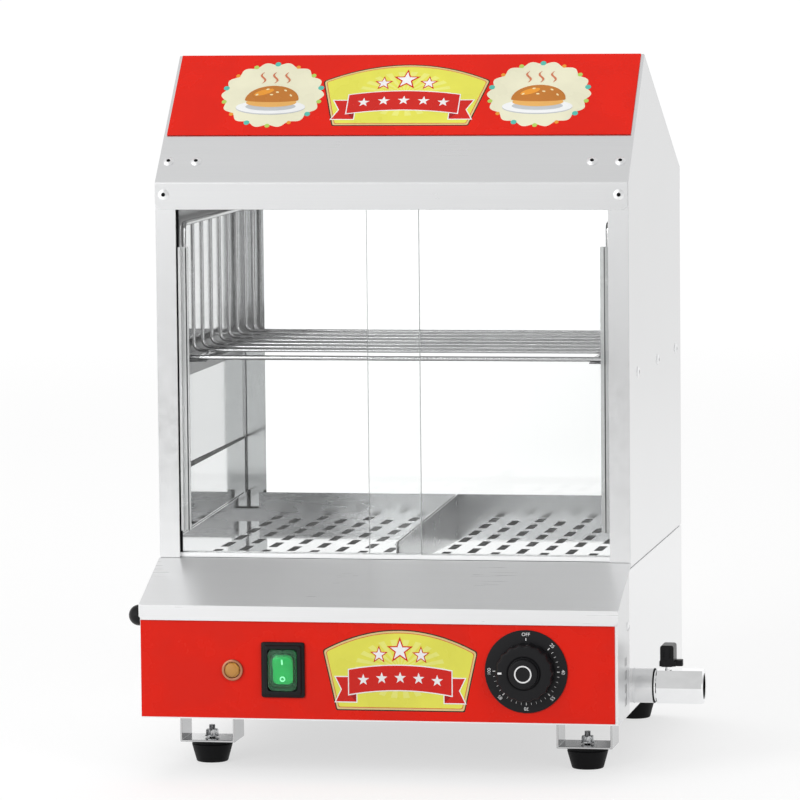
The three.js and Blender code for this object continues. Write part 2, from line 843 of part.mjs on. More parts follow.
// Rear glass: stands on the tank's rim between the rear posts and the linings
function rearGlass() {
  return alongY(box(-innerHalf, innerHalf, deckZ + seat, baseZ + eaveHeight - rearPaneDrop), glassFrontY, glassBackY);
}

place('rear_glass', rearGlass(), 'clear');

// Door tracks: two grooves each, between the linings
const trackHalf = linerX - seat;
const frontPaneY = trackFrontY + trackWall + (trackGroove - paneThickness) / 2;
const rearPaneY = frontPaneY + trackGroove + trackWall;

function track(webZ, lipZ) {
  const outline = [[trackFrontY, webZ], [trackBackY, webZ], [trackBackY, lipZ]];
  const floorZ = webZ + Math.sign(lipZ - webZ) * trackWall;
  let y = trackBackY;
  for (let groove = 0; groove < 2; groove += 1) {
    y -= trackWall;
    outline.push([y, lipZ], [y, floorZ]);
    y -= trackGroove;
    outline.push([y, floorZ], [y, lipZ]);
  }
  outline.push([trackFrontY, lipZ]);
  return alongX(outline, -trackHalf, trackHalf);
}

place('door_track_bottom', track(deckZ + seat, deckZ + seat + trackHeight), 'steel');
place('door_track_top', track(topTrackZ + topTrackHeight, topTrackZ), 'steel');

// Doors: clear panes that overlap in the middle, each with a clear angle near its outer edge as a grip
const paneBottomZ = deckZ + seat + trackWall + seat;
const paneTopZ = topTrackZ + paneEngage;
const paneOuterX = linerX - doorSideClearance;
const gripOuterX = paneOuterX - gripInset;

function doorPane(side, y) {
  const [x0, x1] = sideSpan(side, -doorOverlap / 2, paneOuterX);
  return alongY(box(x0, x1, paneBottomZ, paneTopZ), y, y + paneThickness);
}

function doorGrip(side, faceOfPane, outward) {
  const y = faceOfPane + outward * seat;
  const line = [
    [side * (gripOuterX - gripFoot), y], [side * gripOuterX, y], [side * gripOuterX, y + outward * gripDepth],
  ];
  return alongZ(folded(line, -side * outward * gripSheet), baseZ + gripBottomHeight, baseZ + gripTopHeight);
}

place('door_left', doorPane(-1, frontPaneY), 'clear');
place('door_right', doorPane(1, rearPaneY), 'clear');
place('door_grip_left', doorGrip(-1, frontPaneY, -1), 'clear');
place('door_grip_right', doorGrip(1, rearPaneY + paneThickness, 1), 'clear');

// Trays: perforated floors with walls at the sides and back, open in front
const trayZ = deckZ + seat;
const trayBackY = cabinetDepth - trayBackInset;

function tray(side) {
  const near = trayMiddleGap / 2;
  const far = half - traySideInset;
  const [x0, x1] = sideSpan(side, near, far);
  const columns = Math.floor((far - near - 2 * slotEdge - slotWidth) / slotPitchAcross) + 1;
  const firstX = (x0 + x1) / 2 - ((columns - 1) * slotPitchAcross) / 2;
  const reach = trayBackY - trayWall - foodFrontY - 2 * slotEdge;
  const slots = [];
  for (let column = 0; column < columns; column += 1) {
    const start = (column % 2) * (slotPitchAlong / 2);
    const rows = Math.floor((reach - start - slotLength) / slotPitchAlong) + 1;
    for (let row = 0; row < rows; row += 1) {
      const y = foodFrontY + slotEdge + slotLength / 2 + start + row * slotPitchAlong;
      const x = firstX + column * slotPitchAcross;
      slots.push(roundedBox(x, y, slotWidth, slotLength, slotCorner, slotSteps));
    }
  }
  const floor = alongZ(box(x0, x1, foodFrontY, trayBackY), trayZ, trayZ + trayWall, slots);
  const back = alongY(box(x0, x1, trayZ, trayZ + trayBackHeight), trayBackY - trayWall, trayBackY);
  const cheek = [
    [foodFrontY, trayZ], [trayBackY, trayZ], [trayBackY, trayZ + trayBackHeight],
    [foodFrontY, trayZ + trayFrontHeight],
  ];
  return join(floor, back, alongX(cheek, x0, x0 + trayWall), alongX(cheek, x1 - trayWall, x1));
}

place('tray_left', tray(-1), 'steel');
place('tray_right', tray(1), 'steel');

// Rack rails: an angle screwed to each lining, on which the bun rack rests
const railTopZ = baseZ + railTopHeight;
const railFrontY = foodFrontY + rackFrontGap - trayFrontGap;
const rackBackY = cabinetDepth - rackBackInset;

function rackRail(side) {
  const faceX = linerX - seat;
  const line = [
    [side * faceX, railTopZ - railLeg], [side * faceX, railTopZ], [side * (faceX - railReach), railTopZ],
  ];
  return alongY(folded(line, -side * sheet), railFrontY, rackBackY);
}

place('rack_rail_left', rackRail(-1), 'steel');
place('rack_rail_right', rackRail(1), 'steel');

// Bun rack: a hoop bent up at both sides in front and one behind, a frame wire along each top that is bent
// down over the hoops' ends, two bars under the shelf, and finer wires across, bent up to the frame
function bunRack() {
  const frameZ = railTopZ + seat + rackFrameRadius;
  const shelfZ = frameZ + rackFrameRadius + rackWireRadius - rackWeld;
  const topZ = shelfZ + rackSideHeight;
  const frontY = railFrontY + rackFrameRadius;
  const backY = rackBackY - rackFrameRadius;
  const barX = rackHalfWidth - rackFrameInset;
  const down = axisZ.clone().negate();
  const left = axisX.clone().negate();
  const forward = axisY.clone().negate();
  const upturned = (y, bottomZ, endZ, radius, sides) => {
    const leftTurn = new THREE.Vector3(-rackHalfWidth + rackBend, y, bottomZ + rackBend);
    const rightTurn = new THREE.Vector3(rackHalfWidth - rackBend, y, bottomZ + rackBend);
    return wire([
      new THREE.Vector3(-rackHalfWidth, y, endZ),
      ...bend(leftTurn, left, down, rackBend, 0, Math.PI / 2, bendSteps),
      ...bend(rightTurn, down, axisX, rackBend, 0, Math.PI / 2, bendSteps),
      new THREE.Vector3(rackHalfWidth, y, endZ),
    ], radius, sides);
  };
  const parts = [
    upturned(frontY, frameZ, topZ - 2 * rackBend, rackHoopRadius, frameSides),
    upturned(backY, frameZ, topZ - 2 * rackBend, rackHoopRadius, frameSides),
  ];
  for (let i = 1; i <= rackWireCount; i += 1) {
    const y = frontY + ((backY - frontY) * i) / (rackWireCount + 1);
    parts.push(upturned(y, shelfZ, topZ, rackWireRadius, wireSides));
  }
  for (const side of [-1, 1]) {
    const x = side * rackHalfWidth;
    const endZ = topZ - 3 * rackBend;
    const frontTurn = new THREE.Vector3(x, frontY + rackBend, topZ - rackBend);
    const rearTurn = new THREE.Vector3(x, backY - rackBend, topZ - rackBend);
    parts.push(wire([
      new THREE.Vector3(x, frontY, endZ),
      ...bend(frontTurn, forward, axisZ, rackBend, 0, Math.PI / 2, bendSteps),
      ...bend(rearTurn, axisZ, axisY, rackBend, 0, Math.PI / 2, bendSteps),
      new THREE.Vector3(x, backY, endZ),
    ], rackFrameRadius, frameSides));
    parts.push(wire([
      new THREE.Vector3(side * barX, frontY, frameZ), new THREE.Vector3(side * barX, backY, frameZ),
    ], rackFrameRadius, frameSides));
  }
  return join(...parts);
}

place('bun_rack', bunRack(), 'brightSteel');

// Amber lamp: a bright ring with its barrel through the panel, and a domed lens in its mouth
function lampRing() {
  return turned(ringProfile([
    [lampBarrelRadius, -lampBarrelLength], [lampBarrelRadius, 0], [lampRingRadius, 0],
    [lampRingRadius, lampRingHeight - lampRingEdge], [lampRingRadius - lampRingEdge, lampRingHeight],
    [lensRadius + seat, lampRingHeight], [lensRadius + seat, lampRingHeight - lensSunk],
    [lampBore, lampRingHeight - lensSunk], [lampBore, -lampBarrelLength],
  ]), 'front');
}

function lampLens() {
  const back = lampRingHeight - lensSunk + seat;
  const rim = lampRingHeight + seat;
  const profile = [[0, back], [lensRadius, back]];
  for (let i = 0; i <= cornerSteps; i += 1) {
    const angle = (Math.PI / 2) * (i / cornerSteps);
    profile.push([lensRadius * Math.cos(angle), rim + lensProud * Math.sin(angle)]);
  }
  profile[profile.length - 1][0] = 0;
  return turned(profile, 'front', smallSides);
}

place('lamp_ring', lampRing(), 'brightSteel', lampAcross, faceY, baseZ + lampHeight);
place('lamp_lens', lampLens(), 'amber', lampAcross, faceY, baseZ + lampHeight);

// Power switch: bezel and body in one, a rocker in its well, and a clear rubber cover set into the bezel
const wellWidth = rockerWidth + 2 * rockerSideClearance;
const wellHalfHeight = Math.hypot(rockerHalfHeight, rockerTip) + rockerEndClearance;
const pivotY = -bezelProud + rockerSunk;
const wellDepth = rockerBack + rockerBackHalf * Math.sin(rockerRestTilt) + rockerEndClearance;
const rockerPinReach = rockerWidth / 2 + rockerPinLength;

function switchBody() {
  const bezel = alongY(roundedBox(0, 0, bezelWidth, bezelHeight, bezelCorner), -bezelProud, 0);
  const body = alongY(
    box(-switchBodyWidth / 2, switchBodyWidth / 2, -switchBodyHeight / 2, switchBodyHeight / 2),
    -seat, switchBodyLength,
  );
  const recess = roundedBox(0, 0, coverWidth + 2 * seat, coverHeight + 2 * seat, coverCorner);
  const well = box(-wellWidth / 2, wellWidth / 2, -wellHalfHeight, wellHalfHeight);
  const pinHole = circle(pivotY, 0, rockerPinRadius + seat, smallSides);
  return cut(
    join(bezel, body),
    alongX(pinHole, -rockerPinReach - seat, rockerPinReach + seat),
    alongY(recess, -bezelProud - overrun, -bezelProud + coverSunk),
    alongY(well, -bezelProud - overrun, pivotY + wellDepth),
  );
}

function rocker() {
  const outline = [
    [rockerBack, -rockerBackHalf], [rockerBack, rockerBackHalf], [rockerLip, rockerHalfHeight],
    [-rockerTip, rockerHalfHeight], [-rockerDip, 0], [-rockerTip, -rockerHalfHeight],
    [rockerLip, -rockerHalfHeight],
  ];
  const pin = alongX(circle(0, 0, rockerPinRadius, smallSides), -rockerPinReach, rockerPinReach);
  const face = roundedBox(0, 0, rockerWidth, 2 * rockerHalfHeight, rockerCorner);
  const blank = alongX(outline, -rockerWidth / 2, rockerWidth / 2);
  return join(blank.intersect(alongY(face, -rockerTip - overrun, rockerBack + overrun)), pin);
}

function switchCover() {
  const back = -bezelProud + coverSunk - seat;
  const rimFront = -bezelProud - coverProud;
  const domeFront = -bezelProud - domeProud;
  const insideWidth = rockerWidth + 2 * domeClearance;
  const insideHeight = 2 * (Math.hypot(rockerHalfHeight, rockerTip) + domeClearance);
  const rim = roundedBox(0, 0, coverWidth, coverHeight, coverCorner);
  const dome = roundedBox(0, 0, insideWidth + 2 * coverSheet, insideHeight + 2 * coverSheet, domeCorner);
  const inside = roundedBox(0, 0, insideWidth, insideHeight, domeCorner - coverSheet);
  return cut(
    join(alongY(rim, rimFront, back), alongY(dome, domeFront, back)),
    alongY(inside, domeFront + coverSheet, back + overrun),
  );
}

const switchZ = baseZ + switchHeight;
place('switch_body', switchBody(), 'blackPlastic', switchAcross, faceY, switchZ);
place('switch_cover', switchCover(), 'greenRubber', switchAcross, faceY, switchZ);
place('rocker', rocker(), 'greenPlastic', switchAcross, faceY + pivotY, switchZ).rotation.x = rockerRestTilt;

// Thermostat: dial plate on the panel, scalloped knob with its shaft, body behind the wall, bulb in the tank
function dialPlate() {
  return turned(ringProfile([
    [shaftHole, 0], [dialRadius, 0], [dialRadius, dialSheet], [shaftHole, dialSheet],
  ]), 'front', dialSides);
}

function thermostatKnob() {
  const rim = [];
  for (let i = 0; i < knobSteps; i += 1) {
    const angle = (2 * Math.PI * i) / knobSteps;
    const radius = knobRadius - knobScallop * (1 - Math.cos(knobScallops * angle)) / 2 - knobEdge;
    rim.push(new THREE.Vector2(radius * Math.cos(angle), radius * Math.sin(angle)));
  }
  const skirt = new THREE.ExtrudeGeometry(new THREE.Shape(rim), {
    depth: knobSkirt - 2 * knobEdge, bevelThickness: knobEdge, bevelSize: knobEdge, bevelSegments: 1,
  });
  skirt.translate(0, 0, knobEdge).rotateX(Math.PI / 2);
  const hub = turned([
    [0, knobSkirt / 2], [knobHubRadius, knobSkirt / 2], [knobHubRadius, knobSkirt + knobHubProud / 2],
    [knobHubRadius - knobEdge, knobSkirt + knobHubProud], [0, knobSkirt + knobHubProud],
  ], 'front');
  const shaft = turned(rod(shaftRadius, -shaftLength, knobEdge), 'front', smallSides);
  return join(solid(skirt), hub, shaft);
}

function thermostatBody() {
  const can = turned(ringProfile([
    [shaftRadius + seat, 0], [thermostatRadius, 0], [thermostatRadius, thermostatLength],
    [0, thermostatLength], [0, shaftLength], [shaftRadius + seat, shaftLength],
  ]), 'back');
  const ears = alongY(
    box(-thermostatEar, thermostatEar, -thermostatEarHeight / 2, thermostatEarHeight / 2), 0, sheet,
    [circle(0, 0, shaftRadius + seat, roundSides)],
  );
  return join(can, ears);
}

function thermostatBulb() {
  const startY = sheet + seat + thermostatLength + seat;
  const nutEndY = tankFrontInset - seat;
  const endY = tankFrontInset + bulbLength;
  return turned([
    [0, startY], [capillaryRadius, startY], [capillaryRadius, nutEndY - bulbNutLength],
    [bulbNutRadius, nutEndY - bulbNutLength], [bulbNutRadius, nutEndY], [bulbRadius, nutEndY],
    [bulbRadius, endY], [0, endY],
  ], 'back', smallSides);
}

const dialZ = baseZ + dialHeight;
place('dial_plate', dialPlate(), 'blackPlastic', dialAcross, faceY, dialZ);
place('thermostat_knob', thermostatKnob(), 'blackPlastic', dialAcross, faceY - dialSheet - knobLift, dialZ);
place('thermostat_body', thermostatBody(), 'zinc', dialAcross, sheet + seat, dialZ);
place('thermostat_bulb', thermostatBulb(), 'brass', dialAcross, 0, dialZ - bulbDrop);

// Side knob: a round black grip on the left cheek, with its shank through the sheet
function sideKnob() {
  const start = Math.asin(sideKnobNeck / sideKnobRadius);
  const middle = sideKnobReach - sideKnobRadius;
  const profile = [
    [0, -sideKnobShankLength], [sideKnobShank, -sideKnobShankLength], [sideKnobShank, 0], [sideKnobNeck, 0],
  ];
  for (let i = 0; i < gripSteps; i += 1) {
    const angle = start + ((Math.PI - start) * i) / gripSteps;
    profile.push([sideKnobRadius * Math.sin(angle), middle - sideKnobRadius * Math.cos(angle)]);
  }
  profile.push([0, sideKnobReach]);
  return turned(profile, 'left', ballSides);
}

place('side_knob', sideKnob(), 'blackPlastic', -half - seat, sideKnobInset, baseZ + sideKnobHeight);

// Drain: a pipe from the tank through the right side, and a hexagonal ball valve with a short handle
const drainZ = baseZ + drainHeight;
const pipeEndX = half + pipeProud;
const valveX = pipeEndX + seat;
const ballX = valveX + valveNeckLength + ballInset;

function drainPipe() {
  const startX = tankHalf + seat;
  const ringX = half + seat;
  return turned(ringProfile([
    [pipeBore, startX], [pipeRadius, startX], [pipeRadius, ringX], [pipeRingRadius, ringX],
    [pipeRingRadius, ringX + pipeRingWidth], [pipeRadius, ringX + pipeRingWidth], [pipeRadius, pipeEndX],
    [pipeBore, pipeEndX],
  ]), 'right');
}

function valveBody() {
  const bar = alongX(hexagon(valveAcross), valveNeckLength, valveNeckLength + valveLength);
  const neck = turned(rod(valveNeckRadius, 0, valveNeckLength + seat), 'right');
  const centre = valveNeckLength + ballInset;
  const cavity = new THREE.SphereGeometry(ballRadius + seat, ballSides, ballRings).translate(centre, 0, 0);
  const bore = turned(rod(valveBore, -overrun, valveLength), 'right', ballSides);
  const outletStart = valveNeckLength + valveLength - valveOutletDepth;
  const outletEnd = outletStart + valveOutletDepth + overrun;
  const outlet = turned(rod(valveOutletRadius, outletStart, outletEnd), 'right');
  const stemHole = alongZ(circle(centre, 0, stemRadius + seat, smallSides), 0, valveAcross);
  return cut(join(bar, neck), bore, solid(cavity), outlet, stemHole);
}

function valveBall() {
  const ball = solid(new THREE.SphereGeometry(ballRadius, ballSides, ballRings));
  const port = alongY(circle(0, 0, ballBore, smallSides), -ballRadius - overrun, ballRadius + overrun);
  const stem = alongZ(circle(0, 0, stemRadius, smallSides), ballBore + seat, valveAcross / 2 + stemProud);
  return join(cut(ball, port), stem);
}

function valveHandle() {
  const hubZ = valveAcross / 2 + handleLift;
  const bladeZ = hubZ + handleHubHeight;
  const hub = alongZ(roundedBox(0, 0, handleHubWidth, handleHubWidth, handleCorner), hubZ, bladeZ);
  const tabOutline = roundedBox(handleHubWidth / 2, 0, 2 * handleTab, handleTabWidth, handleCorner);
  const tab = alongZ(tabOutline, hubZ, bladeZ + handleTabRise);
  const bladeMiddleZ = (hubZ + bladeZ + bladeHeight) / 2;
  const bladeTall = bladeZ + bladeHeight - hubZ;
  const blade = alongY(
    roundedBox(0, bladeMiddleZ, bladeWidth, bladeTall, bladeCorner), -bladeLength / 2, bladeLength / 2,
  );
  const grooves = [];
  for (const side of [-1, 1]) {
    for (const face of [-1, 1]) {
      const x = side * (bladeWidth / 2 - bladeGrooveInset);
      const y = face * (bladeLength / 2);
      grooves.push(alongZ(
        box(x - bladeGroove / 2, x + bladeGroove / 2, y - bladeGrooveDepth, y + bladeGrooveDepth),
        bladeZ + bladeGrooveInset, bladeZ + bladeHeight - bladeGrooveInset,
      ));
    }
  }
  const socketTop = valveAcross / 2 + stemProud + seat;
  const socket = alongZ(circle(0, 0, stemRadius + seat, smallSides), hubZ - overrun, socketTop);
  return cut(join(hub, tab, blade), ...grooves, socket);
}

place('drain_pipe', drainPipe(), 'steel', 0, drainInset, drainZ);
place('valve_body', valveBody(), 'brightSteel', valveX, drainInset, drainZ);
place('valve_ball', valveBall(), 'brightSteel', ballX, drainInset, drainZ);
place('valve_handle', valveHandle(), 'blackPlastic', ballX, drainInset, drainZ);

// Cable gland on the back wall, with its bore open
function cableGland() {
  return turned(ringProfile([
    [glandBore, -sheet - glandShankLength], [glandShank, -sheet - glandShankLength], [glandShank, seat],
    [glandNutRadius, seat], [glandNutRadius, seat + glandNutLength], [glandCapRadius, seat + glandNutLength],
    [glandCapRadius, seat + glandNutLength + glandCapLength - glandCapEdge],
    [glandCapRadius - glandCapEdge, seat + glandNutLength + glandCapLength],
    [glandBore, seat + glandNutLength + glandCapLength],
  ]), 'back', smallSides);
}

place('cable_gland', cableGland(), 'blackPlastic', glandAcross, cabinetDepth, baseZ + glandHeight);

export default steamer;
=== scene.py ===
"""A countertop hot dog steamer, dressed piece by piece in the order in which it is put together."""

import bmesh
import bpy
import numpy as np
from mathutils import Matrix, Vector


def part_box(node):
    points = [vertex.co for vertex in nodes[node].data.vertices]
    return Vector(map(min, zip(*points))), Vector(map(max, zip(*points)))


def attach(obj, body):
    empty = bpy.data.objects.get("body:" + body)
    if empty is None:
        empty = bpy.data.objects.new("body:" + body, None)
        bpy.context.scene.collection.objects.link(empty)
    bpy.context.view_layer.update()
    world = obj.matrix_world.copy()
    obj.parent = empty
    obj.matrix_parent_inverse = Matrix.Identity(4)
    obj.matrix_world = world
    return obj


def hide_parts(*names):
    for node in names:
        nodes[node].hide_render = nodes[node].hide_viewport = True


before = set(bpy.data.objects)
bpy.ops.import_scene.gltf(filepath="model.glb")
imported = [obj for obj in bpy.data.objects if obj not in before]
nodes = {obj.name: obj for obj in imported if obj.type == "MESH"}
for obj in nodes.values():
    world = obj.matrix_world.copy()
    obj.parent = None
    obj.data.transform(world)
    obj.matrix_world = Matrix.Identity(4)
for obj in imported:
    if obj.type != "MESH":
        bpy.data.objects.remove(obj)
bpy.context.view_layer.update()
mm = 0.001

# Camera. A long lens stands nearly five metres in front, a little to the right and above the machine,
# and looks slightly down on it, so that the right side and the tops of the trays just show.
camera_place = Vector((842.4, -4795.5, 752.1)) * mm
camera_yaw = np.radians(10.366)
camera_pitch = np.radians(5.182)
camera_roll = np.radians(-0.559)
sensor_width = 36.0
lens_length = 247.35


def camera_axes(yaw, pitch, roll):
    """The camera's right, up and backward directions: yaw turns it to the left, pitch tilts it down and
    roll turns it about its line of sight."""
    forward = Vector((-np.sin(yaw) * np.cos(pitch), np.cos(yaw) * np.cos(pitch), -np.sin(pitch)))
    level = Vector((np.cos(yaw), np.sin(yaw), 0))
    upright = level.cross(forward)
    right = np.cos(roll) * level + np.sin(roll) * upright
    up = np.cos(roll) * upright - np.sin(roll) * level
    return right, up, -forward


camera_data = bpy.data.cameras.new("camera")
camera_data.sensor_width = sensor_width
camera_data.lens = lens_length
camera_data.clip_start = 0.1
camera_data.clip_end = 300.0
camera = bpy.data.objects.new("camera", camera_data)
bpy.context.scene.collection.objects.link(camera)
camera_turn = Matrix(camera_axes(camera_yaw, camera_pitch, camera_roll)).transposed()
camera.matrix_world = Matrix.Translation(camera_place) @ camera_turn.to_4x4()
bpy.context.scene.camera = camera
bpy.context.scene.view_settings.view_transform = "Standard"

# Studio. The machine stands on a pale floor in a white surround, under three large soft lamps. Polished
# steel sees a room that falls off from left to right, and in front a dark band on the floor.
floor_reach = 120.0
floor_colour = (0.42, 0.42, 0.42, 1)
near_glow = 0.61
far_glow = 0.76
surround_light = 0.62
room_left = 2.0
room_right = 0.85
room_behind = 1.05
room_top = 0.74
floor_left = 0.88
floor_right = 0.58
dark_floor = (0.10, 0.10, 0.10, 1)
room_sides = (-0.25, -0.12)
room_front = (-0.6, 0.1)
room_height = (0.15, 0.6)
glow_reach = (1.0, 6.0)
band_start = (-2.3, -1.9)
band_end = (-4.9, -4.3)
floor_sides = (-0.9, 0.3)
lamps = (
    ("key_lamp", (-1.7, -3.1, 1.6), 1.9, 57.0),
    ("fill_lamp", (2.3, -2.2, 1.2), 1.7, 27.0),
    ("rear_lamp", (-0.7, 1.6, 2.7), 1.7, 16.0),
)
lamp_aim = Vector((0, 0, 0.3))


def plug(tree, socket, value):
    """Sets a socket to a value, or links it where the value is another node's output."""
    if isinstance(value, bpy.types.NodeSocket):
        tree.links.new(value, socket)
    else:
        socket.default_value = value


def node(tree, kind, **settings):
    """Adds a shader node. A setting is one of its sockets, with _ for a space, or one of its options."""
    made = tree.nodes.new("ShaderNode" + kind)
    for word, value in settings.items():
        socket = made.inputs.get(word.replace("_", " "))
        if socket is None:
            setattr(made, word, value)
        else:
            plug(tree, socket, value)
    return made


def sums(tree, operation, *values):
    """Works out one number for each point from others."""
    made = node(tree, "Math", operation=operation)
    for socket, value in zip(made.inputs, values):
        plug(tree, socket, value)
    return made.outputs[0]


def ramp(tree, value, low, high, start, end):
    """Carries a value smoothly from start to end as it goes from low to high."""
    made = node(tree, "MapRange", interpolation_type="SMOOTHSTEP", Value=value, From_Min=low, From_Max=high,
                To_Min=start, To_Max=end)
    return made.outputs["Result"]


def mixed(tree, share, first, second):
    """Mixes two colours by a share from 0 to 1."""
    made = node(tree, "Mix", data_type="RGBA")
    for index, value in ((0, share), (6, first), (7, second)):
        plug(tree, made.inputs[index], value)
    return made.outputs[2]


def fresh_tree(owner):
    """The empty node tree of a material or world."""
    owner.use_nodes = True
    owner.node_tree.nodes.clear()
    return owner.node_tree


def paint_world():
    """White to the camera and plain to surfaces. In mirrors and through glass it is white behind, falls off
    from left to right in front, and is greyer at the top."""
    world = bpy.data.worlds.new("surround")
    bpy.context.scene.world = world
    tree = fresh_tree(world)
    way = node(tree, "SeparateXYZ", Vector=node(tree, "TexCoord").outputs["Generated"])
    across = ramp(tree, way.outputs["X"], *room_sides, room_left, room_right)
    ahead = ramp(tree, way.outputs["Y"], *room_front, 1.0, 0.0)
    above = ramp(tree, way.outputs["Z"], *room_height, 1.0, room_top)
    front = sums(tree, "MULTIPLY", ahead, sums(tree, "SUBTRACT", across, room_behind))
    room = sums(tree, "MULTIPLY", sums(tree, "ADD", room_behind, front), above)
    rays = node(tree, "LightPath").outputs
    plain = node(tree, "Background", Strength=surround_light)
    mirrored = node(tree, "Background", Strength=room)
    white = node(tree, "Background", Strength=1.0)
    for background in (plain, mirrored, white):
        background.inputs["Color"].default_value = (1, 1, 1, 1)
    first = node(tree, "MixShader", Fac=rays["Is Glossy Ray"])
    second = node(tree, "MixShader", Fac=rays["Is Camera Ray"])
    tree.links.new(plain.outputs[0], first.inputs[1])
    tree.links.new(mirrored.outputs[0], first.inputs[2])
    tree.links.new(first.outputs[0], second.inputs[1])
    tree.links.new(white.outputs[0], second.inputs[2])
    tree.links.new(second.outputs[0], node(tree, "OutputWorld").inputs["Surface"])


def lay_floor():
    """A wide flat floor at the feet. It glows a little, and more beyond the lamps, so that it is white all
    over. Reflections see it brighter to the left, and in front a dark band across it."""
    corners = [(x * floor_reach, y * floor_reach, 0) for x, y in ((-1, -1), (1, -1), (1, 1), (-1, 1))]
    mesh = bpy.data.meshes.new("studio_floor")
    mesh.from_pydata(corners, [], [(0, 1, 2, 3)])
    ground = bpy.data.objects.new("studio_floor", mesh)
    bpy.context.scene.collection.objects.link(ground)
    made = bpy.data.materials.new("pale floor")
    tree = fresh_tree(made)
    rays = node(tree, "LightPath").outputs
    spot = node(tree, "NewGeometry").outputs["Position"]
    place = node(tree, "SeparateXYZ", Vector=spot)
    away = node(tree, "VectorMath", operation="LENGTH")
    plug(tree, away.inputs[0], spot)
    white = ramp(tree, away.outputs["Value"], *glow_reach, near_glow, far_glow)
    seen = sums(tree, "MAXIMUM", rays["Is Camera Ray"], rays["Is Transmission Ray"])
    start = ramp(tree, place.outputs["Y"], *band_start, 1.0, 0.0)
    band = sums(tree, "MULTIPLY", start, ramp(tree, place.outputs["Y"], *band_end, 0.0, 1.0))
    flagged = sums(tree, "MULTIPLY", rays["Is Glossy Ray"], band)
    across = ramp(tree, place.outputs["X"], *floor_sides, floor_left, floor_right)
    clear_of_band = sums(tree, "SUBTRACT", rays["Is Glossy Ray"], flagged)
    direct = sums(tree, "MULTIPLY", seen, white)
    mirrored = sums(tree, "MULTIPLY", clear_of_band, across)
    glow = sums(tree, "MAXIMUM", direct, mirrored)
    surface = node(tree, "BsdfPrincipled", Base_Color=mixed(tree, flagged, floor_colour, dark_floor),
                   Roughness=0.9, Emission_Strength=glow)
    surface.inputs["Emission Color"].default_value = (1, 1, 1, 1)
    surface.inputs["Specular IOR Level"].default_value = 0.0
    tree.links.new(surface.outputs[0], node(tree, "OutputMaterial").inputs["Surface"])
    mesh.materials.append(made)


def hang_lamp(name, place, size, power):
    """A square soft lamp that faces the machine. Mirrors don't show it."""
    light = bpy.data.lights.new(name, "AREA")
    light.size = size
    light.energy = power
    lamp = bpy.data.objects.new(name, light)
    bpy.context.scene.collection.objects.link(lamp)
    lamp.location = place
    lamp.rotation_euler = (lamp_aim - Vector(place)).to_track_quat("-Z", "Y").to_euler()
    lamp.visible_glossy = False


paint_world()
lay_floor()
for lamp in lamps:
    hang_lamp(*lamp)

# Base. The floor, the back, the two sides and the front wall with its cheeks are folded from stainless
# sheet, brushed lengthways, and screwed and spot welded to one another. The sides are polished bright.
steel_colour = (0.775, 0.78, 0.785, 1)
bright_colour = (0.86, 0.865, 0.87, 1)
sheared_edge = 0.35 * mm


def new_group(name, inputs, outputs):
    """An empty shader node group with named sockets, and its input and output nodes."""
    group = bpy.data.node_groups.new(name, "ShaderNodeTree")
    for word, kind in inputs:
        group.interface.new_socket(word, in_out="INPUT", socket_type="NodeSocket" + kind)
    for word, kind in outputs:
        group.interface.new_socket(word, in_out="OUTPUT", socket_type="NodeSocket" + kind)
    return group, group.nodes.new("NodeGroupInput").outputs, group.nodes.new("NodeGroupOutput").inputs


def grain_group():
    """Brushed grain: noise drawn out along one way makes fine and broad streaks, which lighten and darken
    the colour, roughen the gloss and raise the surface. Wider smudges change the roughness slowly."""
    group, given, made = new_group(
        "brushed grain",
        (("Colour", "Color"), ("Roughness", "Float"), ("Streaks", "Vector"), ("Depth", "Float")),
        (("Colour", "Color"), ("Roughness", "Float"), ("Normal", "Vector")),
    )
    place = node(group, "TexCoord").outputs["Object"]
    drawn = node(group, "VectorMath", operation="MULTIPLY")
    plug(group, drawn.inputs[0], place)
    plug(group, drawn.inputs[1], given["Streaks"])
    fine = node(group, "TexNoise", Vector=drawn.outputs[0], Scale=1.3, Detail=3.0, Roughness=0.6).outputs[0]
    broad = node(group, "TexNoise", Vector=drawn.outputs[0], Scale=0.16, Detail=2.0).outputs[0]
    smudge = node(group, "TexNoise", Vector=place, Scale=11.0, Detail=3.0).outputs[0]
    fine_tone = ramp(group, fine, 0.3, 0.7, 0.99, 1.006)
    broad_tone = ramp(group, broad, 0.3, 0.7, 0.995, 1.004)
    tone = sums(group, "MULTIPLY", fine_tone, broad_tone)
    tinted = node(group, "VectorMath", operation="SCALE")
    plug(group, tinted.inputs[0], given["Colour"])
    plug(group, tinted.inputs["Scale"], tone)
    fine_rough = ramp(group, fine, 0.3, 0.7, -0.02, 0.02)
    smudge_rough = ramp(group, smudge, 0.35, 0.7, -0.01, 0.015)
    rougher = sums(group, "ADD", fine_rough, smudge_rough)
    bump = node(group, "Bump", Height=fine, Distance=given["Depth"], Strength=1.0)
    plug(group, made["Colour"], tinted.outputs[0])
    plug(group, made["Roughness"], sums(group, "ADD", given["Roughness"], rougher))
    plug(group, made["Normal"], bump.outputs[0])
    return group


brushed_grain = grain_group()


def surfaced(name, **settings):
    """A material with one Principled surface, its tree and that surface."""
    made = bpy.data.materials.new(name)
    tree = fresh_tree(made)
    surface = node(tree, "BsdfPrincipled", **settings)
    tree.links.new(surface.outputs[0], node(tree, "OutputMaterial").inputs["Surface"])
    return made, tree, surface


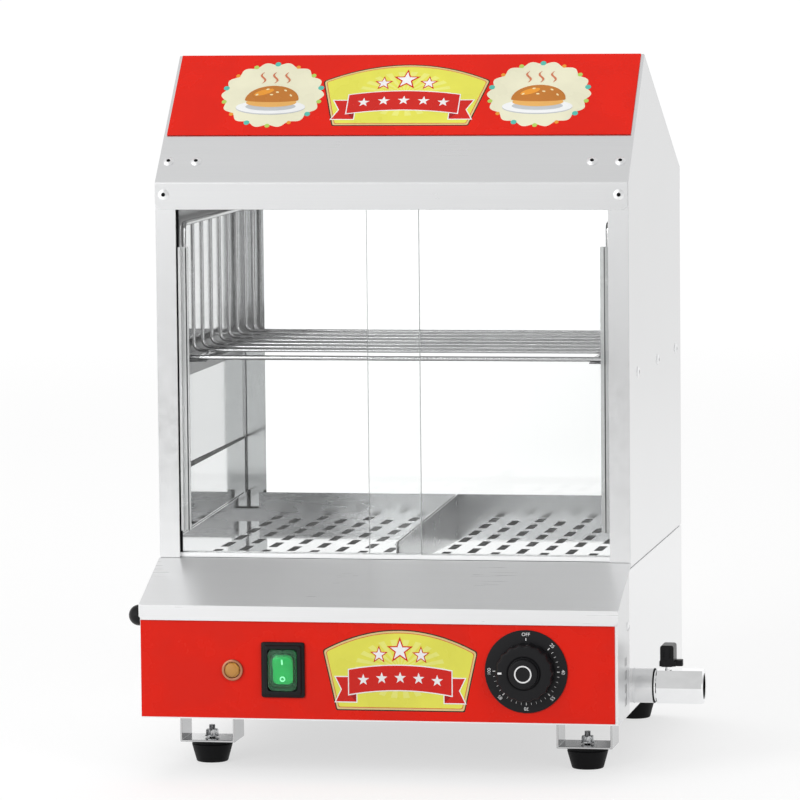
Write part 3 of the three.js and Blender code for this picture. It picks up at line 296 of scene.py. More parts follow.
def steel_finish(name, colour, roughness, streaks, depth):
    """Bare metal with its grain drawn out along the axis that has the smallest number in streaks."""
    made, tree, surface = surfaced(name, Metallic=1.0)
    grain = node(tree, "Group", node_tree=brushed_grain, Colour=colour, Roughness=roughness,
                 Streaks=streaks, Depth=depth)
    for word, socket in (("Colour", "Base Color"), ("Roughness", "Roughness"), ("Normal", "Normal")):
        tree.links.new(grain.outputs[word], surface.inputs[socket])
    return made


brushed_across = steel_finish("steel brushed across", steel_colour, 0.30, (9, 760, 760), 0.004 * mm)
polished = steel_finish("polished steel", bright_colour, 0.10, (60, 5, 60), 0.002 * mm)


def finished(word, finish):
    """Gives a sheet its finish and joins the corners of its loose triangles."""
    sheet = nodes[word]
    for slot in sheet.material_slots:
        slot.material = finish
    merge = sheet.modifiers.new("joined corners", "WELD")
    merge.merge_threshold = 0.01 * mm
    return sheet


def eased(word, finish, width=sheared_edge):
    """Gives a sheet its finish and rounds its sheared edges, once its triangles are joined into whole
    faces."""
    sheet = finished(word, finish)
    flat = sheet.modifiers.new("whole faces", "DECIMATE")
    flat.decimate_type = "DISSOLVE"
    flat.angle_limit = 0.01
    edge = sheet.modifiers.new("sheared edges", "BEVEL")
    edge.width = width
    edge.segments = 2
    edge.limit_method = "ANGLE"
    edge.angle_limit = 0.6
    edge.harden_normals = True
    edge.miter_outer = "MITER_ARC"


dull_steel = steel_finish("dull steel", (0.16, 0.16, 0.165, 1), 0.32, (60, 5, 60), 0.003 * mm)
eased("base_floor", dull_steel)
for word in ("base_back", "front_console"):
    eased(word, brushed_across)
for word in ("base_side_left", "base_side_right"):
    eased(word, polished)

# Stand. Under each corner a bright folded bracket holds a tapered rubber foot, and a zinc plated stud with
# its washer and nut goes through the bracket into the rubber.
rubber_bottom_radius = 13.7 * mm
rubber_edge = 1.6 * mm
rubber_hollow = 1.2 * mm
stud_radius = 2.8 * mm
thread_pitch = 0.9 * mm
thread_depth = 0.3 * mm
nut_across = 10 * mm
nut_height = 5 * mm
washer_radius = 6.4 * mm
washer_sheet = 1 * mm
stud_above_nut = 4 * mm
around = 96
ways = {
    "up": np.array(((1, 0, 0), (0, 1, 0), (0, 0, 1))),
    "front": np.array(((1, 0, 0), (0, 0, 1), (0, -1, 0))),
    "back": np.array(((-1, 0, 0), (0, 0, 1), (0, 1, 0))),
    "right": np.array(((0, 1, 0), (0, 0, 1), (1, 0, 0))),
    "left": np.array(((0, -1, 0), (0, 0, 1), (-1, 0, 0))),
}


def box(word):
    """The lowest corner, the highest corner and the middle of a CAD piece."""
    low, high = (np.array(corner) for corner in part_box(word))
    return low, high, (low + high) / 2


def rounded(line, radius, closed=False, steps=5):
    """Eases the corners of a line: each becomes a curve that starts and ends one radius away from it, drawn
    as a parabola from its two ends and the corner. A radius is cut to half of the shorter side."""
    line = np.asarray(line, float)
    radius = np.array(np.broadcast_to(radius, len(line)), float)
    if not closed:
        radius[[0, -1]] = 0
    sides = [np.roll(line, shift, axis=0) - line for shift in (1, -1)]
    lengths = [np.maximum(np.linalg.norm(side, axis=1), 1e-9) for side in sides]
    radius = np.minimum(radius, 0.49 * np.minimum(*lengths))
    start, end = (line + side * (radius / length)[:, None] for side, length in zip(sides, lengths))
    t = np.linspace(0, 1, steps + 1)[None, :, None]
    curve = (1 - t) ** 2 * start[:, None] + 2 * t * (1 - t) * line[:, None] + t ** 2 * end[:, None]
    points = curve.reshape(-1, 2)
    apart = np.linalg.norm(points - np.roll(points, 1, axis=0), axis=1) > 1e-7
    apart[0] = True
    return points[apart]


def turned(profile, steps=around):
    """Turns a profile of radius and height about its axis: each point goes round to radius times cosine
    and sine of the angle, at its own height."""
    profile = np.asarray(profile, float)
    angle = np.linspace(0, 2 * np.pi, steps, endpoint=False)
    radius = profile[:, :1]
    height = np.repeat(profile[:, 1:], steps, axis=1)
    return np.stack((radius * np.cos(angle), radius * np.sin(angle), height), axis=2)


def six_sided(angle, across):
    """The distance from the middle of a hexagon to its edge: half its width over the cosine of the angle
    from the nearest flat's middle."""
    from_flat = (angle + np.pi / 6) % (np.pi / 3) - np.pi / 6
    return across / 2 / np.cos(from_flat)


def hexagonal(levels, across, steps=144):
    """A bar whose outline is a hexagon cut back to a circle at each level, as a chamfered nut is."""
    levels = np.asarray(levels, float)
    angle = np.linspace(0, 2 * np.pi, steps, endpoint=False)
    radius = np.minimum(six_sided(angle, across)[None, :], levels[:, :1])
    height = np.repeat(levels[:, 1:], steps, axis=1)
    return np.stack((radius * np.cos(angle), radius * np.sin(angle), height), axis=2)


def skin(rows):
    """Covers rows of points with quads. The last column joins the first."""
    count, columns = rows.shape[:2]
    number = np.arange(count * columns).reshape(count, columns)
    below, above = number[:-1], number[1:]
    quads = np.stack((below, np.roll(below, -1, axis=1), np.roll(above, -1, axis=1), above), axis=2)
    return rows.reshape(-1, 3), quads.reshape(-1, 4).tolist()


def stood(rows, place, way):
    """Carries points from across, up and out into the machine's own directions, out from a place."""
    return np.asarray(place) + rows @ ways[way]


def piece(name, shells, finish, body, stands_for=(), crease=35):
    """Makes one mesh object of one or more shells. Doubled points are merged, faces turned outwards and
    edges sharper than the crease kept crisp. It rides on its body and stands for the CAD nodes named."""
    points, faces = [], []
    for shell_points, shell_faces in shells:
        start = sum(len(part) for part in points)
        points.append(shell_points)
        faces += [[start + corner for corner in face] for face in shell_faces]
    mesh = bpy.data.meshes.new(name)
    mesh.from_pydata(np.concatenate(points).tolist(), [], faces)
    work = bmesh.new()
    work.from_mesh(mesh)
    bmesh.ops.remove_doubles(work, verts=work.verts, dist=1e-7)
    bmesh.ops.dissolve_degenerate(work, edges=work.edges, dist=1e-8)
    bmesh.ops.recalc_face_normals(work, faces=work.faces)
    work.to_mesh(mesh)
    work.free()
    mesh.polygons.foreach_set("use_smooth", np.ones(len(mesh.polygons), bool))
    mesh.set_sharp_from_angle(angle=np.radians(crease))
    mesh.materials.append(finish)
    made = bpy.data.objects.new(name, mesh)
    bpy.context.scene.collection.objects.link(made)
    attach(made, body)
    if stands_for:
        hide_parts(*stands_for)
    return made


def speckle_group():
    """Moulded skin: fine noise for the tool's spark texture and slower noise for handling marks, which
    change the roughness and raise the surface."""
    group, given, made = new_group(
        "moulded skin",
        (("Roughness", "Float"), ("Grain size", "Float"), ("Depth", "Float")),
        (("Roughness", "Float"), ("Normal", "Vector")),
    )
    place = node(group, "TexCoord").outputs["Object"]
    grain = node(group, "TexNoise", Vector=place, Scale=given["Grain size"], Detail=2.0).outputs[0]
    marks = node(group, "TexNoise", Vector=place, Scale=70.0, Detail=3.0).outputs[0]
    grain_rough = ramp(group, grain, 0.3, 0.7, -0.04, 0.04)
    mark_rough = ramp(group, marks, 0.4, 0.7, -0.03, 0.07)
    uneven = sums(group, "ADD", grain_rough, mark_rough)
    plug(group, made["Roughness"], sums(group, "ADD", given["Roughness"], uneven))
    plug(group, made["Normal"], node(group, "Bump", Height=grain, Distance=given["Depth"]).outputs[0])
    return group


moulded_skin = speckle_group()


def moulded(name, colour, roughness, grain_size=2600.0, depth=0.02 * mm, **settings):
    """A moulded rubber or plastic with its fine skin."""
    made, tree, surface = surfaced(name, Base_Color=colour, **settings)
    grain = node(tree, "Group", node_tree=moulded_skin, Roughness=roughness, Depth=depth)
    grain.inputs["Grain size"].default_value = grain_size
    tree.links.new(grain.outputs["Roughness"], surface.inputs["Roughness"])
    tree.links.new(grain.outputs["Normal"], surface.inputs["Normal"])
    return made


black_rubber = moulded("black rubber", (0.006, 0.006, 0.0065, 1), 0.55, Specular_IOR_Level=0.12)
zinc_plate = steel_finish("zinc plate", (0.66, 0.67, 0.68, 1), 0.28, (500, 500, 500), 0.01 * mm)


def threaded(radius, low, high):
    """A stud with a helical thread: the radius falls and rises once for each pitch of height, moved on by
    one pitch for each turn."""
    steps = int((high - low) / thread_pitch * 8)
    height = np.linspace(low, high, steps)[:, None]
    angle = np.linspace(0, 2 * np.pi, 32, endpoint=False)[None, :]
    phase = (height / thread_pitch + angle / (2 * np.pi)) % 1
    rise = radius - thread_depth * (1 - np.abs(2 * phase - 1))
    rows = np.stack((rise * np.cos(angle), rise * np.sin(angle), np.repeat(height, 32, axis=1)), axis=2)
    ends = [np.repeat([[[0, 0, level]]], 32, axis=1) for level in (low, high)]
    return np.concatenate((ends[0], rows, ends[1]))


def rubber_foot(corner):
    """A tapered foot with round edges, a shallow groove under its top edge and a hollow underside."""
    low, high, middle = box("foot_rubber_" + corner)
    radius = (high[0] - low[0]) / 2
    height = high[2] - low[2]
    line = [
        (0, rubber_hollow), (rubber_bottom_radius * 0.72, rubber_hollow), (rubber_bottom_radius * 0.8, 0),
        (rubber_bottom_radius, 0), (radius * 0.985, height * 0.82), (radius * 0.93, height * 0.845),
        (radius * 0.94, height * 0.87), (radius, height * 0.885), (radius, height), (0, height),
    ]
    radii = np.array([0, 0.4, 0.4, 1.0, 0.3, 0.2, 0.2, 0.3, 0.9, 0]) * rubber_edge
    rows = turned(rounded(line, radii))
    place = (middle[0], middle[1], low[2])
    piece("rubber_foot_" + corner, [skin(stood(rows, place, "up"))], black_rubber, "cabinet",
          ["foot_rubber_" + corner])


def foot_stud(corner):
    """The stud's visible end, its nut with chamfered corners, and its washer."""
    low, high, middle = box("foot_bolt_" + corner)
    top = high[2]
    nut_top = top - stud_above_nut
    nut_bottom = nut_top - nut_height
    chamfer = nut_across * 0.07
    nut = hexagonal([
        (0, nut_bottom), (nut_across / 2, nut_bottom), (nut_across * 0.6, nut_bottom + chamfer),
        (nut_across * 0.6, nut_top - chamfer), (nut_across / 2, nut_top), (0, nut_top),
    ], nut_across)
    washer = turned(rounded([
        (0, nut_bottom - washer_sheet), (washer_radius, nut_bottom - washer_sheet),
        (washer_radius, nut_bottom), (0, nut_bottom),
    ], 0.25 * mm))
    stud = threaded(stud_radius, low[2], top)
    place = (middle[0], middle[1], 0)
    shells = [skin(stood(rows, place, "up")) for rows in (nut, washer, stud)]
    piece("foot_stud_" + corner, shells, zinc_plate, "cabinet", ["foot_bolt_" + corner], 25)


bracket_steel = steel_finish("bracket steel", (0.52, 0.525, 0.53, 1), 0.14, (90, 90, 9), 0.002 * mm)
for corner in ("front_left", "front_right", "rear_left", "rear_right"):
    eased("foot_bracket_" + corner, bracket_steel, 0.5 * mm)
    rubber_foot(corner)
    foot_stud(corner)

# Tank. The welded tub, its deck with two openings, the looped heating element and the brass fittings of
# the probe and the thermostat's bulb sit inside the base, and only the deck shows, through the slots.
tank_colour = (0.62, 0.63, 0.64, 1)
element_colour = (0.42, 0.43, 0.42, 1)
brass_colour = (0.72, 0.55, 0.28, 1)
tank_steel = steel_finish("tank steel", tank_colour, 0.34, (14, 500, 500), 0.012 * mm)
element_steel = steel_finish("element sheath", element_colour, 0.42, (300, 300, 300), 0.02 * mm)
brass = steel_finish("turned brass", brass_colour, 0.25, (700, 30, 700), 0.01 * mm)
for word in ("water_tank", "tank_deck"):
    finished(word, tank_steel)
for word, finish in (
    ("heating_element", element_steel), ("water_probe", brass), ("thermostat_bulb", brass),
    ("thermostat_body", zinc_plate),
):
    eased(word, finish, 0.2 * mm)

# Ledge. One brushed sheet slopes down from the cabinet over the controls and is folded down as a lip in
# front. It is set in the base's cheeks and held under the cabinet's posts.
ledge_edge = 0.8 * mm
ledge_steel = steel_finish("ledge steel", (0.80, 0.805, 0.81, 1), 0.30, (8, 700, 700), 0.001 * mm)
ledge_steel.node_tree.nodes["Principled BSDF"].inputs["Metallic"].default_value = 0.5
eased("ledge_cover", ledge_steel, ledge_edge)

# Control panel. A plate printed gloss red on its front, with a plain emblem in the middle: a black, cream
# and red border round a yellow field with rays, a red ribbon and stars.
red_colour = (0.74, 0.0125, 0.003, 1)
ink_lift = 0.035 * mm
ink_black = (0.022, 0.018, 0.012, 1)
ink_cream = (0.72, 0.55, 0.25, 1)
ink_red = (0.62, 0.020, 0.014, 1)
ink_deep = (0.36, 0.012, 0.012, 1)
ink_yellow = (0.76, 0.74, 0.10, 1)
ink_pale = (0.80, 0.80, 0.20, 1)
ink_white = (0.86, 0.86, 0.86, 1)
border_black = 1.0 * mm
border_cream = 2.6 * mm
border_red = 3.1 * mm
emblem_half_top = 67.6 * mm
emblem_half_bottom = 56.0 * mm
emblem_bottom = 9.5 * mm
emblem_shoulder = 61.5 * mm
emblem_top = 79.9 * mm
emblem_middle = 19.9 * mm
crest_foot = 1.5 * mm
crest_shoulder = 2.6 * mm
base_above_floor = 52 * mm
ray_count = 22
ray_reach = 0.36
ray_stretch = 1.55
ribbon_bow = 0.06
ribbon_half = 0.66
ribbon_span = (0.20, 0.50)
ribbon_edge = 0.9 * mm
tail_drop = 0.09
tail_length = 0.17
notch_size = 0.4
ribbon_stars = np.linspace(-0.72, 0.72, 5)
ribbon_star = 0.075
crown_stars = ((0, 0.745, 0.125), (-0.27, 0.69, 0.085), (0.27, 0.69, 0.085))
crown_edge = 1.35


def printed(name, colour, roughness=0.3):
    """Screen print: a smooth coat, slightly uneven in tone, with a faint ripple in its gloss."""
    made, tree, surface = surfaced(name, Specular_IOR_Level=0.2)
    place = node(tree, "TexCoord").outputs["Object"]
    cloud = node(tree, "TexNoise", Vector=place, Scale=26.0, Detail=4.0).outputs[0]
    ripple = node(tree, "TexNoise", Vector=place, Scale=420.0, Detail=2.0).outputs[0]
    darker = tuple(0.93 * part for part in colour[:3]) + (1,)
    cloudy = ramp(tree, cloud, 0.35, 0.65, 0.0, 1.0)
    plug(tree, surface.inputs["Base Color"], mixed(tree, cloudy, darker, colour))
    plug(tree, surface.inputs["Roughness"], ramp(tree, cloud, 0.3, 0.7, roughness - 0.04, roughness + 0.05))
    bump = node(tree, "Bump", Height=ripple, Distance=0.006 * mm)
    tree.links.new(bump.outputs[0], surface.inputs["Normal"])
    return made


red_print = printed("gloss red print", red_colour, 0.26)
inks = {
    "black": printed("black ink", ink_black), "cream": printed("cream ink", ink_cream),
    "red": printed("red ink", ink_red), "deep": printed("deep red ink", ink_deep),
    "yellow": printed("yellow ink", ink_yellow), "pale": printed("pale yellow ink", ink_pale),
    "white": printed("white ink", ink_white),
}


def shrunk(outline, distance):
    """Moves each side of a closed outline inwards by a distance, with mitred corners."""
    ahead = np.roll(outline, -1, axis=0) - outline
    normal = np.stack((-ahead[:, 1], ahead[:, 0]), axis=1) / np.linalg.norm(ahead, axis=1)[:, None]
    before = np.roll(normal, 1, axis=0)
    share = distance / np.maximum(1 + (before * normal).sum(axis=1), 0.3)
    return outline + share[:, None] * (before + normal)


def slab(outline, low, high):
    """A thin plate: its outline at two levels, with a wall between them and a face over each."""
    count = len(outline)
    rows = [np.column_stack((outline, np.full(count, level))) for level in (low, high)]
    number = np.arange(count)
    after = np.roll(number, -1)
    walls = np.stack((number, after, after + count, number + count), axis=1).tolist()
    faces = [number[::-1].tolist(), (number + count).tolist()] + walls
    return np.concatenate(rows), faces


def star(middle, radius):
    """Five points at the radius and five notches at 0.4 of it, turn about turn."""
    angle = np.pi / 2 + np.arange(10) * np.pi / 5
    reach = radius * np.where(np.arange(10) % 2, notch_size, 1.0)
    return np.asarray(middle) + np.stack((reach * np.cos(angle), reach * np.sin(angle)), axis=1)


def crest(half_top, half_bottom, bottom, shoulder, top, middle, inset):
    """A crest with straight foot and sides, round shoulders and a crown that rises as a parabola. It is drawn
    square cornered, moved inwards by the inset, and rounded last."""
    across = np.linspace(half_top, -half_top, 25)
    crown = np.stack((across, shoulder + (top - shoulder) * (1 - (across / half_top) ** 2)), axis=1)
    outline = shrunk(np.concatenate(([(-half_bottom, bottom), (half_bottom, bottom)], crown)), inset)
    radius = np.zeros(len(outline))
    radius[[0, 1]] = crest_foot
    radius[[2, -1]] = crest_shoulder
    return rounded(outline, radius, closed=True) + np.array((middle, 0))


def laid(prefix, layers, colours, on_plate):
    """Lays a print's layers on a plate in order, each a hair above the one before, from outlines drawn
    across and up."""
    for count, (word, ink, outlines) in enumerate(layers, 1):
        shells = [slab(shape, -ink_lift, ink_lift * count) for shape in outlines]
        shells = [(on_plate(points), faces) for points, faces in shells]
        piece(prefix + word, shells, colours[ink], "cabinet")


def emblem(prefix, on_plate, size):
    """The crest in four steps from its outline to its field, rays on an ellipse, the ribbon's tails, their
    folds and the ribbon on a parabola, and stars. Lengths are shares of the crest's half width and height."""
    width, _, bottom, _, top, middle = size
    height = top - bottom
    shift = np.array((middle, 0))
    centre = np.array((middle, bottom + height * 0.52))
    turn = np.arange(ray_count) * 2 * np.pi / ray_count
    spread = np.pi / ray_count * 0.5
    reach = height * ray_reach
    rays = [centre + np.array([
        (0.0, 0.0), (ray_stretch * reach * np.cos(a - spread), reach * np.sin(a - spread)),
        (ray_stretch * reach * np.cos(a + spread), reach * np.sin(a + spread)),
    ]) for a in turn]
    bow = height * ribbon_bow
    half = width * ribbon_half
    low, high = (bottom + height * share for share in ribbon_span)
    u = np.linspace(-1, 1, 21)
    lower = np.stack((u * half, low + bow * (1 - u ** 2)), axis=1)
    upper = np.stack((u[::-1] * half, high + bow * (1 - u[::-1] ** 2)), axis=1)
    ribbon = np.concatenate((lower, upper)) + shift
    drop = height * tail_drop
    tail = width * tail_length
    tails, folds = [], []
    for side in (-1, 1):
        inner, outer = side * half * 0.86, side * (half + tail)
        shape = np.array([
            (inner, low - drop), (outer, low - drop), (outer - side * tail * 0.45, (low + high) / 2 - drop),
            (outer, high - drop), (inner, high - drop),
        ]) + shift
        tails.append(shape[::side])
        fold = np.array([(side * half, low), (inner, low - drop), (inner, low + drop * 0.2)]) + shift
        folds.append(fold[::side])
    row = [star((middle + s * half, (low + high) / 2 + bow * (1 - s * s)), height * ribbon_star)
           for s in ribbon_stars]
    crown = [((middle + width * x, bottom + height * y), height * r) for x, y, r in crown_stars]
    laid(prefix, [
        ("outline", "black", [crest(*size, 0)]),
        ("ring", "cream", [crest(*size, border_black)]),
        ("line", "red", [crest(*size, border_cream)]),
        ("field", "yellow", [crest(*size, border_red)]),
        ("rays", "pale", rays),
        ("tail_edges", "white", [shrunk(shape, -ribbon_edge) for shape in tails]),
        ("tails", "red", tails),
        ("folds", "deep", folds),
        ("ribbon_edge", "white", [shrunk(ribbon, -ribbon_edge)]),
        ("ribbon", "red", [ribbon]),
        ("ribbon_stars", "white", row),
        ("star_edges", "red", [star(place, radius * crown_edge) for place, radius in crown]),
        ("stars", "white", [star(place, radius) for place, radius in crown]),
    ], inks, on_plate)


eased("control_panel", red_print, 0.25 * mm)
panel_low, panel_high, _ = box("control_panel")
console_middle = (box("front_console")[0] + box("front_console")[1]) / 2


def on_panel(points):
    """From across and up on the panel's front to the machine's own directions. Across starts at the middle
    of the base and up at its underside."""
    return stood(points, (console_middle[0], panel_low[1], base_above_floor), "front")


emblem("panel_emblem_", on_panel, (
    emblem_half_top, emblem_half_bottom, emblem_bottom, emblem_shoulder, emblem_top, emblem_middle))

# Dial. A thin black plate with white ticks and plain figures is riveted behind a moulded knob, whose
# scalloped skirt carries a white pointer and whose round hub has a white ring.
plate_edge = 0.3 * mm
print_lift = 0.05 * mm
knob_radius = 25 * mm
knob_scallop = 1.1 * mm
scallop_count = 18
knob_skirt = 13 * mm
knob_lift = 1 * mm
hub_radius = 12.6 * mm
ring_outer = 7.5 * mm
ring_inner = 6.3 * mm
figure_height = 2.9 * mm
figure_radius = 32.0 * mm
tick_inner = 26.6 * mm
tick_outer = 28.9 * mm
tick_width = 0.75 * mm
thin_width = 0.32 * mm
first_figure = 25
figure_step = 15
last_figure = 100
figure_turn = np.pi / 4
thin_ticks = 4
pointer_length = 3.4 * mm
pointer_width = 1.7 * mm
black_plastic = moulded("black plastic", (0.006, 0.006, 0.007, 1), 0.36, Specular_IOR_Level=0.2)
dial_black = moulded("black dial plate", (0.007, 0.007, 0.008, 1), 0.34, 900.0, 0.004 * mm,
                     Specular_IOR_Level=0.2)
white_mark = printed("white marking", (0.80, 0.80, 0.80, 1), 0.4)
plate_low, plate_high, plate_middle = box("dial_plate")
plate_radius = (plate_high[0] - plate_low[0]) / 2
knob_front = box("thermostat_knob")[0][1]
dial_front = (plate_middle[0], plate_low[1], plate_middle[2])


def flat_mesh(curve):
    """The points and faces of a flat filled curve."""
    outline = bpy.data.objects.new("outline", curve)
    bpy.context.scene.collection.objects.link(outline)
    flat = bpy.data.meshes.new_from_object(outline.evaluated_get(bpy.context.evaluated_depsgraph_get()))
    points = np.empty(3 * len(flat.vertices))
    flat.vertices.foreach_get("co", points)
    faces = [list(face.vertices) for face in flat.polygons]
    bpy.data.objects.remove(outline)
    bpy.data.meshes.remove(flat)
    return points.reshape(-1, 3), faces


def letters(text, height):
    """A line of text as a flat outline with its middle at the origin and its capitals at a height."""
    curve = bpy.data.curves.new("letters", "FONT")
    curve.body = text
    points, faces = flat_mesh(curve)
    low, high = points.min(axis=0), points.max(axis=0)
    return (points - (low + high) / 2) * height / (high[1] - low[1]), faces


def spun(points, angle, radius):
    """Carries flat points out to a radius and turns them clockwise about the origin, top outwards."""
    across, up = points[:, 0], points[:, 1] + radius
    turn = np.array(((np.cos(angle), np.sin(angle)), (-np.sin(angle), np.cos(angle))))
    flat = np.stack((across, up), axis=1) @ turn.T
    return np.column_stack((flat, points[:, 2]))


def in_order(points, faces):
    """Numbers the points of a mesh by their place, and starts each face at its lowest number, so that every
    run lists them alike."""
    order = np.lexsort(np.round(points, 9).T)
    rank = np.argsort(order)
    faces = [rank[face].tolist() for face in faces]
    starts = [face.index(min(face)) for face in faces]
    return points[order], sorted(face[start:] + face[:start] for face, start in zip(faces, starts))


def thickened(points, faces, low, high):
    """Gives a flat outline a thickness: it is copied to a low and a high level, and its open edges are
    joined by walls."""
    mesh = bpy.data.meshes.new("outline")
    mesh.from_pydata(points.tolist(), [], faces)
    work = bmesh.new()
    work.from_mesh(mesh)
    bmesh.ops.remove_doubles(work, verts=work.verts, dist=1e-7)
    made = bmesh.ops.extrude_face_region(work, geom=work.faces[:] + work.edges[:] + work.verts[:])
    for part in made["geom"]:
        if isinstance(part, bmesh.types.BMVert):
            part.co.z = high
    lifted = {part for part in made["geom"] if isinstance(part, bmesh.types.BMVert)}
    for corner in work.verts:
        if corner not in lifted:
            corner.co.z = low
    work.verts.index_update()
    solid = np.array([corner.co[:] for corner in work.verts])
    solid_faces = [[corner.index for corner in face.verts] for face in work.faces]
    work.free()
    bpy.data.meshes.remove(mesh)
    return in_order(solid, solid_faces)


def tick(width, share, angle):
    """A tick between the two tick radii, which starts a share of the way out, turned to its angle."""
    corners = np.array([(-1, share), (1, share), (1, 1), (-1, 1)]) * (width / 2, tick_outer - tick_inner)
    outline = spun(np.column_stack((corners, np.zeros(4))), angle, tick_inner)[:, :2]
    return slab(outline, -print_lift, print_lift)


def dial_marks():
    """Ticks, figures and the word at the top, turn by turn from the top clockwise."""
    figures = ["OFF"] + [str(value) for value in range(first_figure, last_figure + 1, figure_step)]
    shells = []
    for count, text in enumerate(figures):
        angle = count * figure_turn
        points, faces = letters(text, figure_height)
        shells.append(thickened(spun(points, angle, figure_radius), faces, -print_lift, print_lift))
        shells.append(tick(tick_width, 0, angle))
        if 0 < count < len(figures) - 1:
            for step in range(1, thin_ticks + 1):
                shells.append(tick(thin_width, 0.2, angle + figure_turn * step / (thin_ticks + 1)))
    return shells


plate_depth = plate_high[1] - plate_low[1]
plate_hole = knob_radius * 0.3
plate_rows = turned(rounded([
    (plate_hole, -plate_depth), (plate_radius, -plate_depth), (plate_radius, 0), (plate_hole, 0),
    (plate_hole, -plate_depth),
], plate_edge))
piece("dial_face", [skin(stood(plate_rows, dial_front, "front"))], dial_black, "cabinet",
      ["dial_plate"])
piece("dial_marks", [(stood(points, dial_front, "front"), faces) for points, faces in dial_marks()],
      white_mark, "cabinet")


def knob_rows():
    """The knob's profile turned about its axis, with its rim drawn in and out by a cosine 18 times round.
    The scallops fade out towards the middle of the face."""
    front = plate_low[1] - knob_front
    skirt = knob_lift + knob_skirt
    line = [
        (0, knob_lift), (knob_radius, knob_lift), (knob_radius - 0.5 * mm, skirt),
        (hub_radius + 2.2 * mm, skirt), (hub_radius + 0.9 * mm, skirt - 0.7 * mm),
        (hub_radius + 0.2 * mm, skirt - 0.5 * mm),
        (hub_radius - 0.3 * mm, front), (ring_outer + 0.6 * mm, front),
        (ring_outer + 0.3 * mm, front - 0.25 * mm), (0, front - 0.25 * mm),
    ]
    radii = np.array((0, 0.7, 2.0, 0.6, 0.4, 0.4, 1.3, 0.2, 0.2, 0)) * mm
    profile = rounded(line, radii, steps=7)
    inner = np.stack((np.linspace(profile[-1, 0], 0, 2), np.full(2, profile[-1, 1])), axis=1)
    profile = np.concatenate((profile, inner[1:]))
    rows = turned(profile, scallop_count * 24)
    angle = np.linspace(0, 2 * np.pi, scallop_count * 24, endpoint=False)
    depth = knob_scallop * (1 - np.cos(scallop_count * angle)) / 2
    weight = np.clip((profile[:, 0] - knob_radius * 0.72) / (knob_radius * 0.2), 0, 1)[:, None]
    radius = np.maximum(np.linalg.norm(rows[:, :, :2], axis=2), 1e-9)
    rows[:, :, :2] *= (1 - weight * depth[None, :] / radius)[:, :, None]
    return rows


def flat_ring(inner, outer, low, high):
    """A flat ring between two radii and two levels."""
    return turned([(inner, low), (outer, low), (outer, high), (inner, high), (inner, low)], 72)


piece("scalloped_knob", [skin(stood(knob_rows(), dial_front, "front"))], black_plastic, "dial_knob",
      ["thermostat_knob"], 30)
hub_face = plate_low[1] - knob_front - 0.25 * mm
ring_rows = flat_ring(ring_inner, ring_outer, hub_face - print_lift, hub_face + print_lift)
pointer = rounded(np.array([(-1, 0), (1, 0), (1, 1), (-1, 1)]) * (pointer_width / 2, pointer_length),
                  0.3 * mm, closed=True)
pointer_points, pointer_faces = slab(pointer, knob_lift + knob_skirt - print_lift,
                                     knob_lift + knob_skirt + print_lift)
pointer_points = spun(pointer_points, -np.pi / 2, knob_radius - pointer_length - 2.6 * mm)
piece("knob_marks", [
    skin(stood(ring_rows, dial_front, "front")), (stood(pointer_points, dial_front, "front"), pointer_faces),
], white_mark, "dial_knob")

# Switch. A black bezel snapped into the panel holds a lighted green rocker under a clear green rubber cover
# with a raised dome, marked with a bar at the top and a ring at the bottom.
bezel_front = box("switch_body")[0][1]
cover_low, cover_high, cover_middle = box("switch_cover")
switch_place = (cover_middle[0], plate_high[1], cover_middle[2])
bezel_half = (19 * mm, 24 * mm)
bezel_proud = plate_high[1] - bezel_front
bezel_step = 2.4 * mm
well_half = ((cover_high[0] - cover_low[0]) / 2 + 0.3 * mm, (cover_high[2] - cover_low[2]) / 2 + 0.3 * mm)
cover_rim_proud = bezel_proud + 1 * mm
dome_proud = plate_high[1] - cover_low[1]
dome_half = (10.8 * mm, 14.6 * mm)
dome_corner = 6.5 * mm


def rounded_box(half, corner, steps=10):
    """A rectangle about the middle with round corners, drawn from its half width and half height."""
    corners = np.array(((-1, -1), (1, -1), (1, 1), (-1, 1))) * half
    radius = np.full(4, corner)
    return rounded(corners, radius, closed=True, steps=steps)


def stacked(levels):
    """Rows of round-cornered boxes: each level gives a half width, a half height, a corner and a height."""
    rows = []
    for width, height, corner, level in levels:
        flat = rounded_box((width, height), corner)
        rows.append(np.column_stack((flat, np.full(len(flat), level))))
    return np.array(rows)


def switch_bezel():
    """The bezel's sloping rim, its raised inner frame and the well in its middle. Its first row comes again
    last, which closes the profile."""
    w, h = bezel_half
    inner_w, inner_h = well_half
    step_w, step_h = w - bezel_step, h - bezel_step
    levels = [
        (inner_w, inner_h, 3 * mm, -0.6 * mm), (w - 0.4 * mm, h - 0.4 * mm, 2.4 * mm, 0),
        (w, h, 2.6 * mm, 0.5 * mm), (w, h, 2.6 * mm, 1.6 * mm),
        (w - 0.7 * mm, h - 0.7 * mm, 2.4 * mm, 2.5 * mm), (step_w, step_h, 2.2 * mm, 3.1 * mm),
        (step_w - 0.5 * mm, step_h - 0.5 * mm, 2.2 * mm, bezel_proud - 0.3 * mm),
        (step_w - 0.9 * mm, step_h - 0.9 * mm, 2.2 * mm, bezel_proud),
        (inner_w + 0.4 * mm, inner_h + 0.4 * mm, 3.2 * mm, bezel_proud),
        (inner_w, inner_h, 3 * mm, bezel_proud - 0.4 * mm),
    ]
    return stacked(levels + levels[:1])


